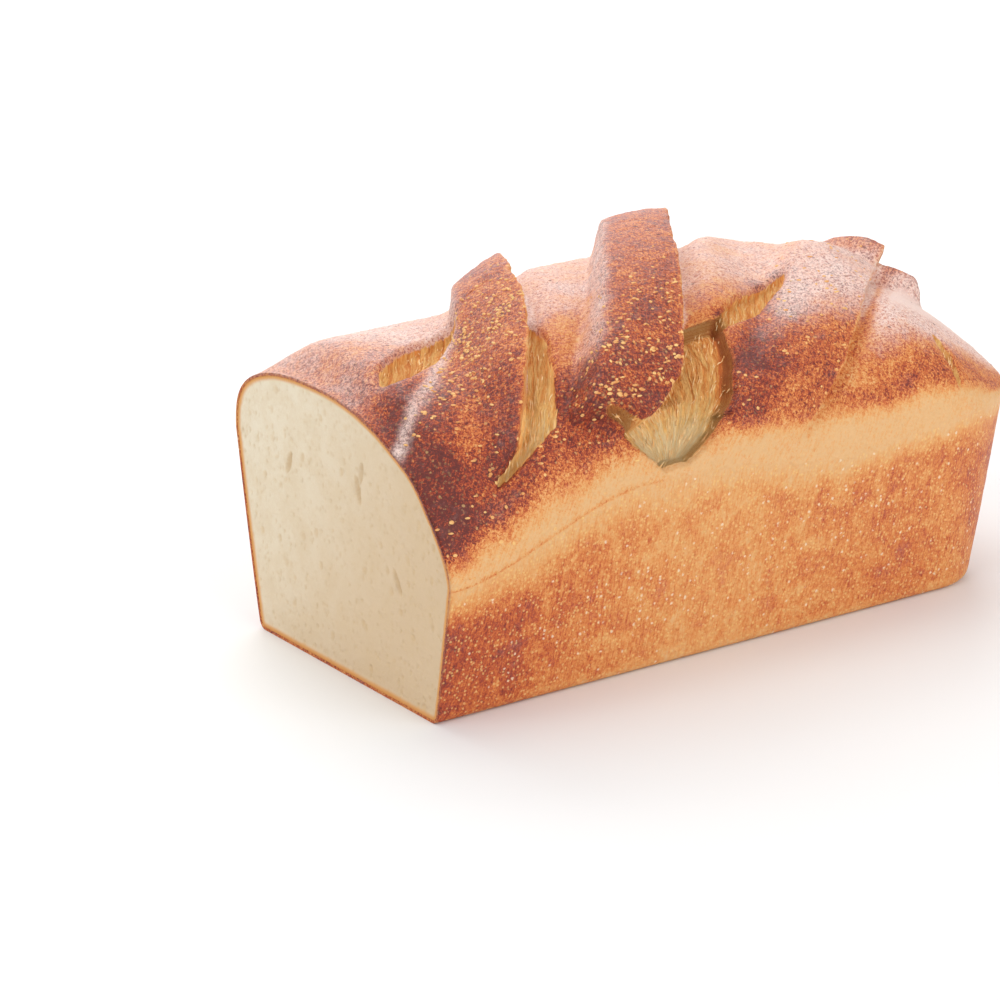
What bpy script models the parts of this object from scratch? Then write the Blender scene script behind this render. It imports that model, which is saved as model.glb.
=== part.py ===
"""Potato bread loaf: a tin loaf with slashed crust, cut across at its near end.

Run with: blender --background --python part.py

The dough filled a bread tin and rose out of it. Below the seam the walls are the tin's, above it
the crust is a free dome. Long slashes cross the dome at a slant, and between them the crust stands
up in ridges with torn crumb beside them. A point of the crust is given by its station, the distance
from the cut face along the loaf, and by its arc, the way over the dome from the crest, negative on
the front. All lengths are in metres.
"""
from math import pi

import bmesh
import bpy
import numpy as np

# Tin: the base of the whole loaf, whose near end has been sliced away at station 0.
BASE_WIDTH = 0.102
BASE_LENGTH = 0.2265
SLICED_OFF = 0.045
BASE_CORNER = 0.020
BASE_EDGE = 0.0025
FRONT_SPREAD = 0.008
BACK_SPREAD = 0.013
END_SPREAD = 0.0240
SPREAD_POWER = 0.9

# Dome: the crest runs behind the middle, and both ends fall away over the end zones.
CREST_Y = 0.016
CREST_NEAR = 0.0918
SHOULDER_CORNER = 0.052
END_ZONE = 0.060
FRONT_POWER = 2.0
BACK_POWER = 2.8
END_POWER = 1.30
CORNER_SLUMP = 0.95
SHOULDER_FRONT = 0.046
SHOULDER_BACK = 0.066

# Rises of the crest and of the front seam: (first station, last station, height gained).
CREST_RISES = ((0.000, 0.016, 0.0080), (0.042, 0.080, 0.0107), (0.150, 0.175, -0.0055))
SEAM_RISES = ((0.000, 0.075, 0.020), (0.100, 0.150, -0.006), (0.160, 0.210, 0.004))
RISE_LEAN = 0.8
RISE_REACH = 0.085
LEAN_ZONE = 0.060
# The front sinks a little towards the cut.
FRONT_SLUMP = 0.0045
SLUMP_ZONE = 0.050

# Edges of the ridges: (station at the crest, lean down the front, bend down the front, lean down the back).
RIDGE_EDGES = {
    "near_left": (0.0565, 0.75, 8.2, 0.72),
    "near_right": (0.0755, 0.48, 2.2, 0.55),
    "tongue_left": (0.1125, 0.74, 0.8, 0.83),
    "tongue_right": (0.1385, 0.68, 0.6, 0.78),
    "far_left": (0.1960, 0.95, 0.4, 0.76),
    "far_right": (0.2250, 0.80, 2.4, 0.65),
}
LIP = 0.0022
# Width of the slope on each ridge's left side, down the front and behind the crest.
BANKS = {"near": (0.009, 0.0065), "tongue": (0.0085, 0.0085), "far": (0.014, 0.014)}
# Where each ridge starts and stops over the dome, as (front arc, its softness, back arc, its softness).
REACHES = {
    "near": (-0.067, 0.003, 0.048, 0.016),
    "tongue": (-0.070, 0.0045, 0.048, 0.016),
    "far": (-0.082, 0.012, 0.008, 0.018),
}
# Softer way over which the left part of a ridge's front end fades out.
LEFT_FADES = {"near": 0.022, "tongue": 0.0, "far": 0.0}
# The hollows beside the ridges' right edges: (depth, width).
HOLLOWS = {"near": (0.0020, 0.013), "tongue": (0.0030, 0.018), "far": (0.0015, 0.013)}
# How far the ridges' front ends bow out.
BOWS = {"near": 0.0, "tongue": 0.009, "far": 0.0}
TONGUE_HEIGHT = 0.0115
FAR_HEIGHT = 0.0030
FAR_RISE = 0.0025

# Torn patches as slanted ovals: (station, arc, half length, half width, slant in degrees, depth).
TORN_OVALS = (
    (0.032, -0.011, 0.024, 0.0068, 25, 0.0040),
    (0.149, -0.0325, 0.028, 0.0038, 29, 0.0030),
    (0.209, -0.070, 0.014, 0.0028, 88, 0.0012),
)
# The flap that stands up behind the far lobe, as a slanted oval: the last number is its height.
BACK_RIB = (0.224, 0.003, 0.024, 0.0075, 103, 0.0080)
# The burst below the tongue: a wedge that opens from its tip at the seam.
BURST_TIP = (0.086, -0.0935)
BURST_TOP = (0.102, -0.040)
BURST_TIP_HALF = 0.004
BURST_HALF_WIDTH = 0.025
BURST_DEPTH = 0.0050
# Under the tongue's tip the wedge spreads to the left: (its share, first arc, last arc).
BURST_SPREAD = (0.31, -0.094, -0.068)
# The lens-shaped tear beside the near ridge, whose low end runs on under the ridge's tip.
LENS_ARCS = (-0.0735, -0.022)
LENS_WIDTH = 0.0150
LENS_DEPTH = 0.0030
LENS_UNDER = 0.007

# Cells of the surface over the whole loaf.
COLUMNS = 80
ROWS = 62
WALL_ROWS = 8
CURL_ROWS = 2
# Shares of the columns in the two end zones. The near one is sliced away.
NEAR_SHARE = 0.06
FAR_SHARE = 0.25

CRUST_COLOUR = (0.46, 0.17, 0.055, 1.0)
CRUMB_COLOUR = (0.76, 0.62, 0.42, 1.0)


def ease(low, high, value):
    """Rise from 0 to 1 between low and high with level ends."""
    t = np.clip((value - low) / (high - low), 0.0, 1.0)
    return t * t * (3.0 - 2.0 * t)


def risen(start, rises, x):
    """Height at station x of a line that starts at one height and takes the given rises."""
    return start + sum(gain * ease(first, last, x) for first, last, gain in rises)


def shoulder_height(x, side):
    """Height of the seam at station x, for side from -1 at the front to 1 at the back."""
    front = risen(SHOULDER_FRONT, SEAM_RISES, x)
    return front + (SHOULDER_BACK - front) * (side + 1.0) / 2.0


def end_fall(x, share, first, last):
    """Share of the dome's height that is left towards the first and last station, less at the corners."""
    into = (np.maximum(first + END_ZONE - x, x - last + END_ZONE) / END_ZONE).clip(0.0, 1.0)
    slump = CORNER_SLUMP * (into * share) ** 2
    return (1.0 - into ** END_POWER) ** (1.0 / END_POWER) * (1.0 - slump)


def across(b):
    """Share of the half width and of the dome's height, for b from -1 at the front to 1 at the back."""
    turn = np.abs(b) * pi / 2
    power = np.where(b < 0, 2.0 / FRONT_POWER, 2.0 / BACK_POWER)
    return np.sin(turn) ** power * np.sign(b), np.cos(turn).clip(0.0) ** power


def round_corners(x, y, x_range, y_range, radius):
    """Carry a point of a rectangle onto the same rectangle with rounded corners."""
    middle_x, middle_y = sum(x_range) / 2, sum(y_range) / 2
    half_x, half_y = (x_range[1] - x_range[0]) / 2, (y_range[1] - y_range[0]) / 2
    off_x, off_y = x - middle_x, y - middle_y
    turn_x = ((np.abs(off_x) - half_x + radius) / radius).clip(0.0, 1.0)
    turn_y = ((np.abs(off_y) - half_y + radius) / radius).clip(0.0, 1.0)
    new_x = np.minimum(np.abs(off_x), half_x - radius) + radius * turn_x * np.sqrt(1 - turn_y ** 2 / 2)
    new_y = np.minimum(np.abs(off_y), half_y - radius) + radius * turn_y * np.sqrt(1 - turn_x ** 2 / 2)
    return middle_x + np.sign(off_x) * new_x, middle_y + np.sign(off_y) * new_y


def loaf_point(x, b, level, on_top):
    """Place of the plain loaf for a station, a share b across, and a level of 0 to 1 up the wall."""
    share, fall = across(b)
    first, last = -SLICED_OFF - END_SPREAD, BASE_LENGTH + END_SPREAD
    top = shoulder_height(x, share)
    curl = CURL_ROWS / WALL_ROWS
    turn = (level / curl).clip(0.0, 1.0) * pi / 2
    in_curl = level < curl
    height = np.where(
        in_curl,
        BASE_EDGE * (1 - np.cos(turn)),
        BASE_EDGE + (level - curl) / (1 - curl) * (top - BASE_EDGE),
    )
    inset = np.where(in_curl, BASE_EDGE * (1 - np.sin(turn)), 0.0)
    spread = (height / top).clip(0.0, 1.0) ** SPREAD_POWER
    x_range = (-SLICED_OFF - END_SPREAD * spread + inset, BASE_LENGTH + END_SPREAD * spread - inset)
    y_range = (
        -BASE_WIDTH / 2 - FRONT_SPREAD * spread + inset,
        BASE_WIDTH / 2 + BACK_SPREAD * spread - inset,
    )
    crest = CREST_Y * spread
    out_x = x_range[0] + (x - first) / (last - first) * (x_range[1] - x_range[0])
    out_y = crest + share * np.where(b < 0, crest - y_range[0], y_range[1] - crest)
    radius = BASE_CORNER + (SHOULDER_CORNER - BASE_CORNER) * spread
    out_x, out_y = round_corners(out_x, out_y, x_range, y_range, radius)
    lean = RISE_LEAN * RISE_REACH * ease(0.0, LEAN_ZONE, x)
    crest_height = risen(CREST_NEAR, CREST_RISES, x - lean * b)
    crown = top + (crest_height - top) * end_fall(x, share, first, last) * fall
    crown = crown - FRONT_SLUMP * np.sin(pi * np.minimum(b, 0.0) ** 2) * (1 - ease(0.0, SLUMP_ZONE, x))
    return np.stack([out_x, out_y, np.where(on_top, crown, height)], -1)


def column_stations():
    """Stations of the columns: even along the body, and closing up round the far end."""
    first, last = -SLICED_OFF - END_SPREAD, BASE_LENGTH + END_SPREAD
    t = np.linspace(0.0, 1.0, COLUMNS + 1)
    near = first + END_ZONE * t / NEAR_SHARE
    middle = (t - NEAR_SHARE) / (1 - NEAR_SHARE - FAR_SHARE)
    body = first + END_ZONE + middle * (last - first - 2 * END_ZONE)
    turn = ((t - 1 + FAR_SHARE) / FAR_SHARE).clip(0.0, 1.0) * pi / 2
    far = last - END_ZONE + END_ZONE * np.sin(turn)
    return np.where(t < NEAR_SHARE, near, np.where(turn > 0, far, body))


def row_arcs():
    """Even arcs of the rows over the dome at mid length, and the share b of each."""
    shares = np.linspace(-1.0, 1.0, 801)
    middle = np.full(shares.shape, BASE_LENGTH / 2)
    line = loaf_point(middle, shares, np.ones(shares.shape), np.ones(shares.shape, bool))
    arcs = np.concatenate([[0.0], np.cumsum(np.linalg.norm(np.diff(line, axis=0), axis=1))])
    arcs -= np.interp(0.0, shares, arcs)
    rows = np.linspace(arcs[0], arcs[-1], ROWS + 1)
    return rows, np.interp(rows, arcs, shares)


def edge_station(name, arc):
    """Station of a ridge's edge at an arc: it leans to the near end down the front."""
    station, lean, bend, back_lean = RIDGE_EDGES[name]
    front, back = np.minimum(arc, 0.0), np.maximum(arc, 0.0)
    return station + lean * front - bend * front ** 2 + back_lean * back


def left_bank(name, arc):
    """Width of the slope on a ridge's left side."""
    return BANKS[name][0] + (BANKS[name][1] - BANKS[name][0]) * ease(-0.030, 0.005, arc)


def along_ridge(name, arc, tip=0.0, fade=0.0):
    """Mask of the arcs that a ridge reaches, with its front end moved down and softened."""
    front, front_ease, back, back_ease = REACHES[name]
    started = ease(front - tip - front_ease, front - tip + front_ease + fade, arc)
    return started * (1 - ease(back - back_ease, back + back_ease, arc))


def ridge(x, arc, name):
    """Plateau of 0 to 1 between a ridge's two edges, and the share of the width from the left one."""
    from_left = x - edge_station(name + "_left", arc)
    from_right = edge_station(name + "_right", arc) - x
    width = (from_left / (from_left + from_right)).clip(0.0, 1.0)
    plateau = ease(-left_bank(name, arc), 0.0, from_left) * ease(-LIP, 0.0, from_right)
    tip = BOWS[name] * np.sin(pi * width ** 1.8)
    return plateau * along_ridge(name, arc, tip, LEFT_FADES[name] * (1 - ease(0.55, 0.95, width))), width


def oval(x, arc, patch, soft=0.4):
    """Mask of a slanted oval patch with a soft edge."""
    station, middle, half_length, half_width, slant, _ = patch
    angle = np.radians(slant)
    along = ((x - station) * np.cos(angle) + (arc - middle) * np.sin(angle)) / half_length
    aside = (-(x - station) * np.sin(angle) + (arc - middle) * np.cos(angle)) / half_width
    return 1 - ease(0.95 - soft / 2, 0.95 + soft / 2, np.hypot(along, aside))


def burst(x, arc):
    """Mask of the wedge of torn crumb, which ends at the tongue's right edge above the tongue's tip."""
    up = (arc - BURST_TIP[1]) / (BURST_TOP[1] - BURST_TIP[1])
    middle = BURST_TIP[0] + (BURST_TOP[0] - BURST_TIP[0]) * up
    half = BURST_TIP_HALF + BURST_HALF_WIDTH * (1 - (1 - up.clip(0.0, 1.0)) ** 3)
    share, low, high = BURST_SPREAD
    half = np.where(x < middle, half * (1 + share * ease(low, high, arc)), half)
    wedge = (1 - ease(0.7, 1.2, np.abs(x - middle) / half)) * ease(0.0, 0.2, up) * (1 - ease(0.8, 1.1, up))
    tip = REACHES["tongue"][0]
    beside = ease(0.0, LIP, x - edge_station("tongue_right", arc))
    return wedge * np.maximum(beside, 1 - ease(tip, tip + 0.004, arc))


def lens(x, arc):
    """Mask of the lens-shaped tear beside the near ridge."""
    up = (arc - LENS_ARCS[0]) / (LENS_ARCS[1] - LENS_ARCS[0])
    inside = up.clip(0.0, 1.0)
    width = LENS_WIDTH * (1 - inside) ** 0.55 * np.sqrt((inside / 0.10).clip(0.0, 1.0)) + 0.001
    low_end = REACHES["near"][0]
    under = LENS_UNDER * (1 - ease(low_end - 0.003, low_end, arc))
    out = x - edge_station("near_right", arc)
    mask = ease(0.0, LIP, out + under) * (1 - ease(0.85, 1.15, out / width))
    return mask * ease(0.0, 0.06, up) * (1 - ease(0.92, 1.0, up))


def hollow(x, arc, name):
    """Depth of the hollow that runs beside a ridge's right edge."""
    depth, width = HOLLOWS[name]
    out = x - edge_station(name + "_right", arc)
    return depth * ease(0.0, LIP, out) * (1 - ease(LIP, width, out)) * along_ridge(name, arc)


def relief(x, arc):
    """Height of the crust over the plain dome."""
    behind = ease(-0.030, 0.005, arc)
    near, near_width = ridge(x, arc, "near")
    tongue, tongue_width = ridge(x, arc, "tongue")
    far, far_width = ridge(x, arc, "far")
    height = near * (0.0005 + 0.006 * behind + (0.006 - 0.0045 * behind) * near_width)
    height = height + tongue * (TONGUE_HEIGHT + 0.0036 * tongue_width * (1 - tongue_width))
    height = height + far * (FAR_HEIGHT + FAR_RISE * behind + 0.0040 * far_width * (1 - far_width))
    height = height + BACK_RIB[-1] * oval(x, arc, BACK_RIB, 1.2)
    for patch in TORN_OVALS:
        height = height - patch[-1] * oval(x, arc, patch)
    height = height - BURST_DEPTH * burst(x, arc) * (1 - tongue)
    return height - LENS_DEPTH * lens(x, arc) - sum(hollow(x, arc, name) for name in HOLLOWS)


def drawn_stations(arc, stations):
    """Stations of one row, drawn onto the ridge edges that it crosses."""
    row = stations.copy()
    cell = (BASE_LENGTH + SLICED_OFF) / COLUMNS
    for name in RIDGE_EDGES:
        edge = float(edge_station(name, arc))
        nearest = int(np.argmin(np.abs(row - edge)))
        ridge_name, side = name.split("_")
        away, bank = (1, LIP) if side == "right" else (-1, left_bank(ridge_name, arc))
        steps = max(1, round(bank / cell))
        reached = along_ridge(ridge_name, arc, BOWS[ridge_name]) > 0
        if reached and steps < nearest < COLUMNS - steps:
            for step in range(steps + 1):
                row[nearest + away * step] = edge + away * bank * step / steps
    return row


def crust_point(x, b, arc):
    """Place of the slashed crust: the plain dome pushed out along its normal by the relief."""
    step = 1e-4
    top = np.ones(np.shape(x), bool)
    level = np.ones(np.shape(x))
    place = loaf_point(x, b, level, top)
    along = loaf_point(x + step, b, level, top) - loaf_point(x - step, b, level, top)
    over = loaf_point(x, b + step, level, top) - loaf_point(x, b - step, level, top)
    normal = np.cross(along, over)
    normal /= np.linalg.norm(normal, axis=-1, keepdims=True).clip(1e-12)
    return place + normal * relief(x, arc)[..., None]


def subdivided_box():
    """Cube from -1 to 1 with its faces cut into columns, rows and wall rows."""
    mesh = bmesh.new()
    bmesh.ops.create_cube(mesh, size=2.0)
    for axis, cells in enumerate((COLUMNS, ROWS, WALL_ROWS)):
        along = [
            edge for edge in mesh.edges
            if abs(edge.verts[0].co[axis] - edge.verts[1].co[axis]) > 1.0
        ]
        bmesh.ops.subdivide_edges(mesh, edges=along, cuts=cells - 1, use_grid_fill=True)
    return mesh


def split_along_slashes(mesh):
    """Split the quads of the top along the way that the slashes run."""
    for face in [f for f in mesh.faces if f.normal.z > 0.5]:
        corners = sorted(face.verts, key=lambda vert: vert.co.x + vert.co.y)
        bmesh.utils.face_split(face, corners[0], corners[-1])


def shape_loaf(mesh):
    """Carry the box's points onto the whole loaf."""
    stations = column_stations()
    arcs, shares = row_arcs()
    drawn = [drawn_stations(arc, stations) for arc in arcs]
    verts = list(mesh.verts)
    box = np.array([vert.co for vert in verts])
    column = np.rint((box[:, 0] + 1) / 2 * COLUMNS).astype(int)
    row = np.rint((box[:, 1] + 1) / 2 * ROWS).astype(int)
    level = (box[:, 2] + 1) / 2
    on_top = level > 0.999
    x = stations[column]
    inside = on_top & (row > 0) & (row < ROWS) & (column > 0) & (column < COLUMNS)
    x[inside] = np.array(drawn)[row[inside], column[inside]]
    b, arc = shares[row], arcs[row]
    places = loaf_point(x, b, level, on_top)
    places[inside] = crust_point(x[inside], b[inside], arc[inside])
    for vert, place in zip(verts, places):
        vert.co = place


def cut_near_end(mesh):
    """Slice the near end off at station 0 and close the cut with one flat face."""
    geometry = mesh.verts[:] + mesh.edges[:] + mesh.faces[:]
    bmesh.ops.bisect_plane(mesh, geom=geometry, dist=1e-5, plane_co=(0, 0, 0), plane_no=(-1, 0, 0), clear_outer=True)
    rim = [edge for edge in mesh.edges if edge.is_boundary]
    face = bmesh.ops.contextual_create(mesh, geom=rim)["faces"][0]
    face.material_index = 1


def flatten_base(mesh):
    """Join the base's cells into one flat face."""
    base = [face for face in mesh.faces if all(vert.co.z < 1e-6 for vert in face.verts)]
    bmesh.ops.dissolve_faces(mesh, faces=base)


def stand_on_origin(mesh):
    """Move the loaf so that the origin is under the middle of its box."""
    places = np.array([vert.co for vert in mesh.verts])
    low, high = places.min(axis=0), places.max(axis=0)
    middle = (low + high) / 2
    bmesh.ops.translate(mesh, verts=mesh.verts[:], vec=(-middle[0], -middle[1], -low[2]))


def finish(name, colour, roughness):
    """Plain material of one colour."""
    material = bpy.data.materials.new(name)
    material.use_nodes = True
    shader = material.node_tree.nodes["Principled BSDF"]
    shader.inputs["Base Color"].default_value = colour
    shader.inputs["Roughness"].default_value = roughness
    shader.inputs["Metallic"].default_value = 0.0
    return material


def make_loaf(collection):
    """Build the loaf as one closed solid."""
    mesh = subdivided_box()
    split_along_slashes(mesh)
    shape_loaf(mesh)
    cut_near_end(mesh)
    flatten_base(mesh)
    stand_on_origin(mesh)
    bmesh.ops.recalc_face_normals(mesh, faces=mesh.faces[:])
    data = bpy.data.meshes.new("loaf")
    mesh.to_mesh(data)
    mesh.free()
    data.materials.append(finish("baked crust", CRUST_COLOUR, 0.6))
    data.materials.append(finish("crumb", CRUMB_COLOUR, 0.9))
    data.shade_smooth()
    data.set_sharp_from_angle(angle=np.radians(35))
    loaf = bpy.data.objects.new("loaf", data)
    collection.objects.link(loaf)
    return loaf


def main():
    """Clear the scene and build the loaf."""
    for item in list(bpy.data.objects):
        bpy.data.objects.remove(item)
    collection = bpy.data.collections.new("potato bread loaf")
    bpy.context.scene.collection.children.link(collection)
    make_loaf(collection)


main()
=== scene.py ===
"""Potato bread loaf, cut across at its near end: the looks of its crust and its crumb.

The dough filled a bread tin and rose out of it. A point of the dome is given by its station, the
distance from the cut face along the loaf, and by its arc, the way over the dome from the crest,
negative on the front. Sizes are in metres, in the tin's own frame until a mesh is placed.
"""

import logging
from dataclasses import dataclass, field
from enum import Enum
from math import cos, pi, radians, sin
from typing import Any

import bpy
import numpy as np
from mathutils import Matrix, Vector, noise


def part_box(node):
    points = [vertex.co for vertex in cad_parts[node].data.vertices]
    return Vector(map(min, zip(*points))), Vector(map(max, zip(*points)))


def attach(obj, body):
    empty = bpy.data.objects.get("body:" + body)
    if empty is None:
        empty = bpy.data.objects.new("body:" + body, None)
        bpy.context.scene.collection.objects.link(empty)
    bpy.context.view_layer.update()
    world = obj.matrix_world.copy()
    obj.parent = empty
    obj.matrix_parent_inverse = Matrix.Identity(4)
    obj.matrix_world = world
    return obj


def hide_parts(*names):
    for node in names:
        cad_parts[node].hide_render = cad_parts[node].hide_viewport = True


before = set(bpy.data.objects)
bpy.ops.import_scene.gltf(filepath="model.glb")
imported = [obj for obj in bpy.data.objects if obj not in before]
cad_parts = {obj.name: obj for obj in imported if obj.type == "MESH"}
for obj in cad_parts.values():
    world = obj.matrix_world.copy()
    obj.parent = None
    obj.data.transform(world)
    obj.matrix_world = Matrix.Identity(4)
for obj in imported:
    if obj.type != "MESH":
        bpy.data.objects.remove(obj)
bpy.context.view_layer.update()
log = logging.getLogger("potato_bread_loaf")

Array = np.ndarray
Socket = bpy.types.NodeSocket

CREST_ARCS = (-0.030, 0.005)
NO_LENGTH = 1e-12


class Slot(Enum):
    """Two names: crust and crumb."""

    CRUST = "crust"
    CRUMB = "crumb"


def ease(low: float, high: float, value: Array | float) -> Array:
    """Rise from 0 to 1 between low and high with level ends."""
    t = np.clip((value - low) / (high - low), 0.0, 1.0)
    return t * t * (3.0 - 2.0 * t)


def bell(value: Array, width: float) -> Array:
    """Rise to 1 where value is 0, and fall to nothing past the width."""
    return np.exp(-(value / width) ** 2)


def wander(places: Array, size: float, octaves: int = 3, shift: float = 0.0) -> Array:
    """Smooth noise, about -1 to 1.

    Args:
        places: Points, one a row, with two coordinates.
        size: Width of the largest features.
        octaves: Layers of finer noise.
        shift: Offset that makes one use differ from another.

    Returns:
        One value for each point.
    """
    scaled = np.column_stack([places / size, np.zeros(len(places))]) + shift
    return np.array([noise.fractal(Vector(point), 1.0, 2.0, octaves) for point in scaled])


def unit(vectors: Array) -> Array:
    """Vectors, one a row, brought to a length of 1."""
    return vectors / np.linalg.norm(vectors, axis=-1, keepdims=True).clip(NO_LENGTH)


def linear(red: int, green: int, blue: int) -> tuple[float, float, float, float]:
    """Scene colour of a screen colour given in steps of 0 to 255."""
    shares = [level / 255 for level in (red, green, blue)]
    return (*(s / 12.92 if s <= 0.04045 else ((s + 0.055) / 1.055) ** 2.4 for s in shares), 1.0)


@dataclass(frozen=True)
class RisingLine:
    """Height along the loaf: a start and gentle rises of (first station, last station, gain)."""

    start: float
    rises: tuple[tuple[float, float, float], ...]

    def at(self, x: Array) -> Array:
        """Height at the stations x."""
        return self.start + sum(gain * ease(first, last, x) for first, last, gain in self.rises)


@dataclass(frozen=True)
class Tin:
    """Space of the tin that shaped the walls. Its near end has been sliced away at station 0."""

    width: float = 0.102
    length: float = 0.2265
    sliced_off: float = 0.045
    corner: float = 0.020
    edge: float = 0.0025
    front_spread: float = 0.008
    back_spread: float = 0.013
    end_spread: float = 0.0240
    spread_power: float = 0.9
    curl: float = 0.25

    @property
    def first(self) -> float:
        """Station of the near end before the slicing."""
        return -self.sliced_off - self.end_spread

    @property
    def last(self) -> float:
        """Station of the far end."""
        return self.length + self.end_spread


@dataclass(frozen=True)
class Dome:
    """Plain loaf: the tin's walls and the dome that rose over them."""

    tin: Tin = Tin()
    crest_y: float = 0.016
    shoulder_corner: float = 0.052
    end_zone: float = 0.060
    front_power: float = 2.0
    back_power: float = 2.8
    end_power: float = 1.30
    corner_slump: float = 0.95
    shoulder_back: float = 0.066
    rise_lean: float = 0.8
    rise_reach: float = 0.085
    lean_zone: float = 0.060
    front_slump: float = 0.0045
    slump_zone: float = 0.050
    arc_steps: int = 1600
    crest: RisingLine = RisingLine(
        0.0918, ((0.000, 0.016, 0.0080), (0.042, 0.080, 0.0107), (0.150, 0.175, -0.0055))
    )
    seam: RisingLine = RisingLine(
        0.0460, ((0.000, 0.075, 0.020), (0.100, 0.150, -0.006), (0.160, 0.210, 0.004))
    )

    def seam_height(self, x: Array, side: Array) -> Array:
        """Height of the seam at station x, for side from -1 at the front to 1 at the back."""
        front = self.seam.at(x)
        return front + (self.shoulder_back - front) * (side + 1.0) / 2.0

    def end_fall(self, x: Array, share: Array) -> Array:
        """Share of the dome's height that is left towards the two ends, less at the corners."""
        from_end = np.maximum(self.tin.first + self.end_zone - x, x - self.tin.last + self.end_zone)
        into = (from_end / self.end_zone).clip(0.0, 1.0)
        slump = self.corner_slump * (into * share) ** 2
        return (1.0 - into ** self.end_power) ** (1.0 / self.end_power) * (1.0 - slump)

    def across(self, b: Array) -> tuple[Array, Array]:
        """Shares of the half width and of the dome's height, for b from -1 front to 1 back."""
        turn = np.abs(b) * pi / 2
        power = np.where(b < 0, 2.0 / self.front_power, 2.0 / self.back_power)
        return np.sin(turn) ** power * np.sign(b), np.cos(turn).clip(0.0) ** power

    def round_corners(self, x: Array, y: Array, ends: tuple, sides: tuple, radius: Array) -> tuple:
        """Carry points of a rectangle onto the same rectangle with rounded corners.

        Args:
            x: Places along the loaf.
            y: Places across it.
            ends: Lowest and highest x of the rectangle.
            sides: Lowest and highest y of the rectangle.
            radius: Radius of its corners.

        Returns:
            The new places along and across.
        """
        middle = (sum(ends) / 2, sum(sides) / 2)
        half = ((ends[1] - ends[0]) / 2, (sides[1] - sides[0]) / 2)
        off = (x - middle[0], y - middle[1])
        turn = [((np.abs(o) - h + radius) / radius).clip(0.0, 1.0) for o, h in zip(off, half)]
        moved = []
        for axis, other in ((0, 1), (1, 0)):
            straight = np.minimum(np.abs(off[axis]), half[axis] - radius)
            out = straight + radius * turn[axis] * np.sqrt(1 - turn[other] ** 2 / 2)
            moved.append(middle[axis] + np.sign(off[axis]) * out)
        return tuple(moved)

    def curl_turn(self, level: Array) -> Array:
        """Angle that the curl of the base's edge has turned by at a level of 0 to 1 up the wall."""
        return (level / self.tin.curl).clip(0.0, 1.0) * pi / 2

    def curl_inset(self, level: Array) -> Array:
        """How far the curl of the base's edge draws the wall in at a level."""
        return np.where(level < self.tin.curl, self.tin.edge * (1 - np.sin(self.curl_turn(level))), 0.0)

    def ends(self, spread: Array, inset: Array) -> tuple[Array, Array]:
        """Places along the loaf of the tin's near and far end, at a share of their full spread."""
        tin = self.tin
        near = -tin.sliced_off - tin.end_spread * spread + inset
        return near, tin.length + tin.end_spread * spread - inset

    def wall_height(self, x: Array, b: Array, level: Array) -> Array:
        """Height of a level of 0 to 1 up the wall, over the curl of the base's edge."""
        tin = self.tin
        top = self.seam_height(x, self.across(b)[0])
        straight = tin.edge + (level - tin.curl) / (1 - tin.curl) * (top - tin.edge)
        return np.where(level < tin.curl, tin.edge * (1 - np.cos(self.curl_turn(level))), straight)

    def station_of_cut(self, b: Array, level: Array) -> Array:
        """Station that lies on the cut plane at a level up the wall, where the tin is narrower."""
        tin = self.tin
        nothing = np.zeros(np.shape(level))
        up = self.wall_height(nothing, b, level) / self.seam_height(nothing, self.across(b)[0])
        near, far = self.ends(up.clip(0.0, 1.0) ** tin.spread_power, self.curl_inset(level))
        return tin.first - near / (far - near) * (tin.last - tin.first)

    def point(self, x: Array, b: Array, level: Array, on_top: Array) -> Array:
        """Place of the plain loaf.

        Args:
            x: Stations.
            b: Shares across, from -1 at the front to 1 at the back.
            level: Shares of the way up the wall, 0 to 1.
            on_top: Whether each point lies on the dome and not on the wall.

        Returns:
            Points, one a row.
        """
        tin = self.tin
        share, fall = self.across(b)
        top = self.seam_height(x, share)
        height = self.wall_height(x, b, level)
        inset = self.curl_inset(level)
        spread = (height / top).clip(0.0, 1.0) ** tin.spread_power
        ends = self.ends(spread, inset)
        sides = (
            -tin.width / 2 - tin.front_spread * spread + inset,
            tin.width / 2 + tin.back_spread * spread - inset,
        )
        crest = self.crest_y * spread
        out_x = ends[0] + (x - tin.first) / (tin.last - tin.first) * (ends[1] - ends[0])
        out_y = crest + share * np.where(b < 0, crest - sides[0], sides[1] - crest)
        radius = tin.corner + (self.shoulder_corner - tin.corner) * spread
        out_x, out_y = self.round_corners(out_x, out_y, ends, sides, radius)
        lean = self.rise_lean * self.rise_reach * ease(0.0, self.lean_zone, x)
        crest_height = self.crest.at(x - lean * b)
        crown = top + (crest_height - top) * self.end_fall(x, share) * fall
        on_front = np.sin(pi * np.minimum(b, 0.0) ** 2)
        crown = crown - self.front_slump * on_front * (1 - ease(0.0, self.slump_zone, x))
        return np.stack([out_x, out_y, np.where(on_top, crown, height)], -1)

    def arcs(self) -> tuple[Array, Array]:
        """Shares b from -1 to 1 and the arc of each, measured from the crest at mid length."""
        shares = np.linspace(-1.0, 1.0, self.arc_steps + 1)
        middle = np.full(shares.shape, self.tin.length / 2)
        line = self.point(middle, shares, np.ones(shares.shape), np.ones(shares.shape, bool))
        arcs = np.concatenate([[0.0], np.cumsum(np.linalg.norm(np.diff(line, axis=0), axis=1))])
        return shares, arcs - np.interp(0.0, shares, arcs)


@dataclass(frozen=True)
class Edge:
    """Line of a ridge's edge over the dome: it leans to the near end down the front."""

    station: float
    lean: float
    bend: float
    back_lean: float

    def at(self, arc: Array) -> Array:
        """Station of the edge at an arc."""
        front, back = np.minimum(arc, 0.0), np.maximum(arc, 0.0)
        return self.station + self.lean * front - self.bend * front ** 2 + self.back_lean * back


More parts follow.
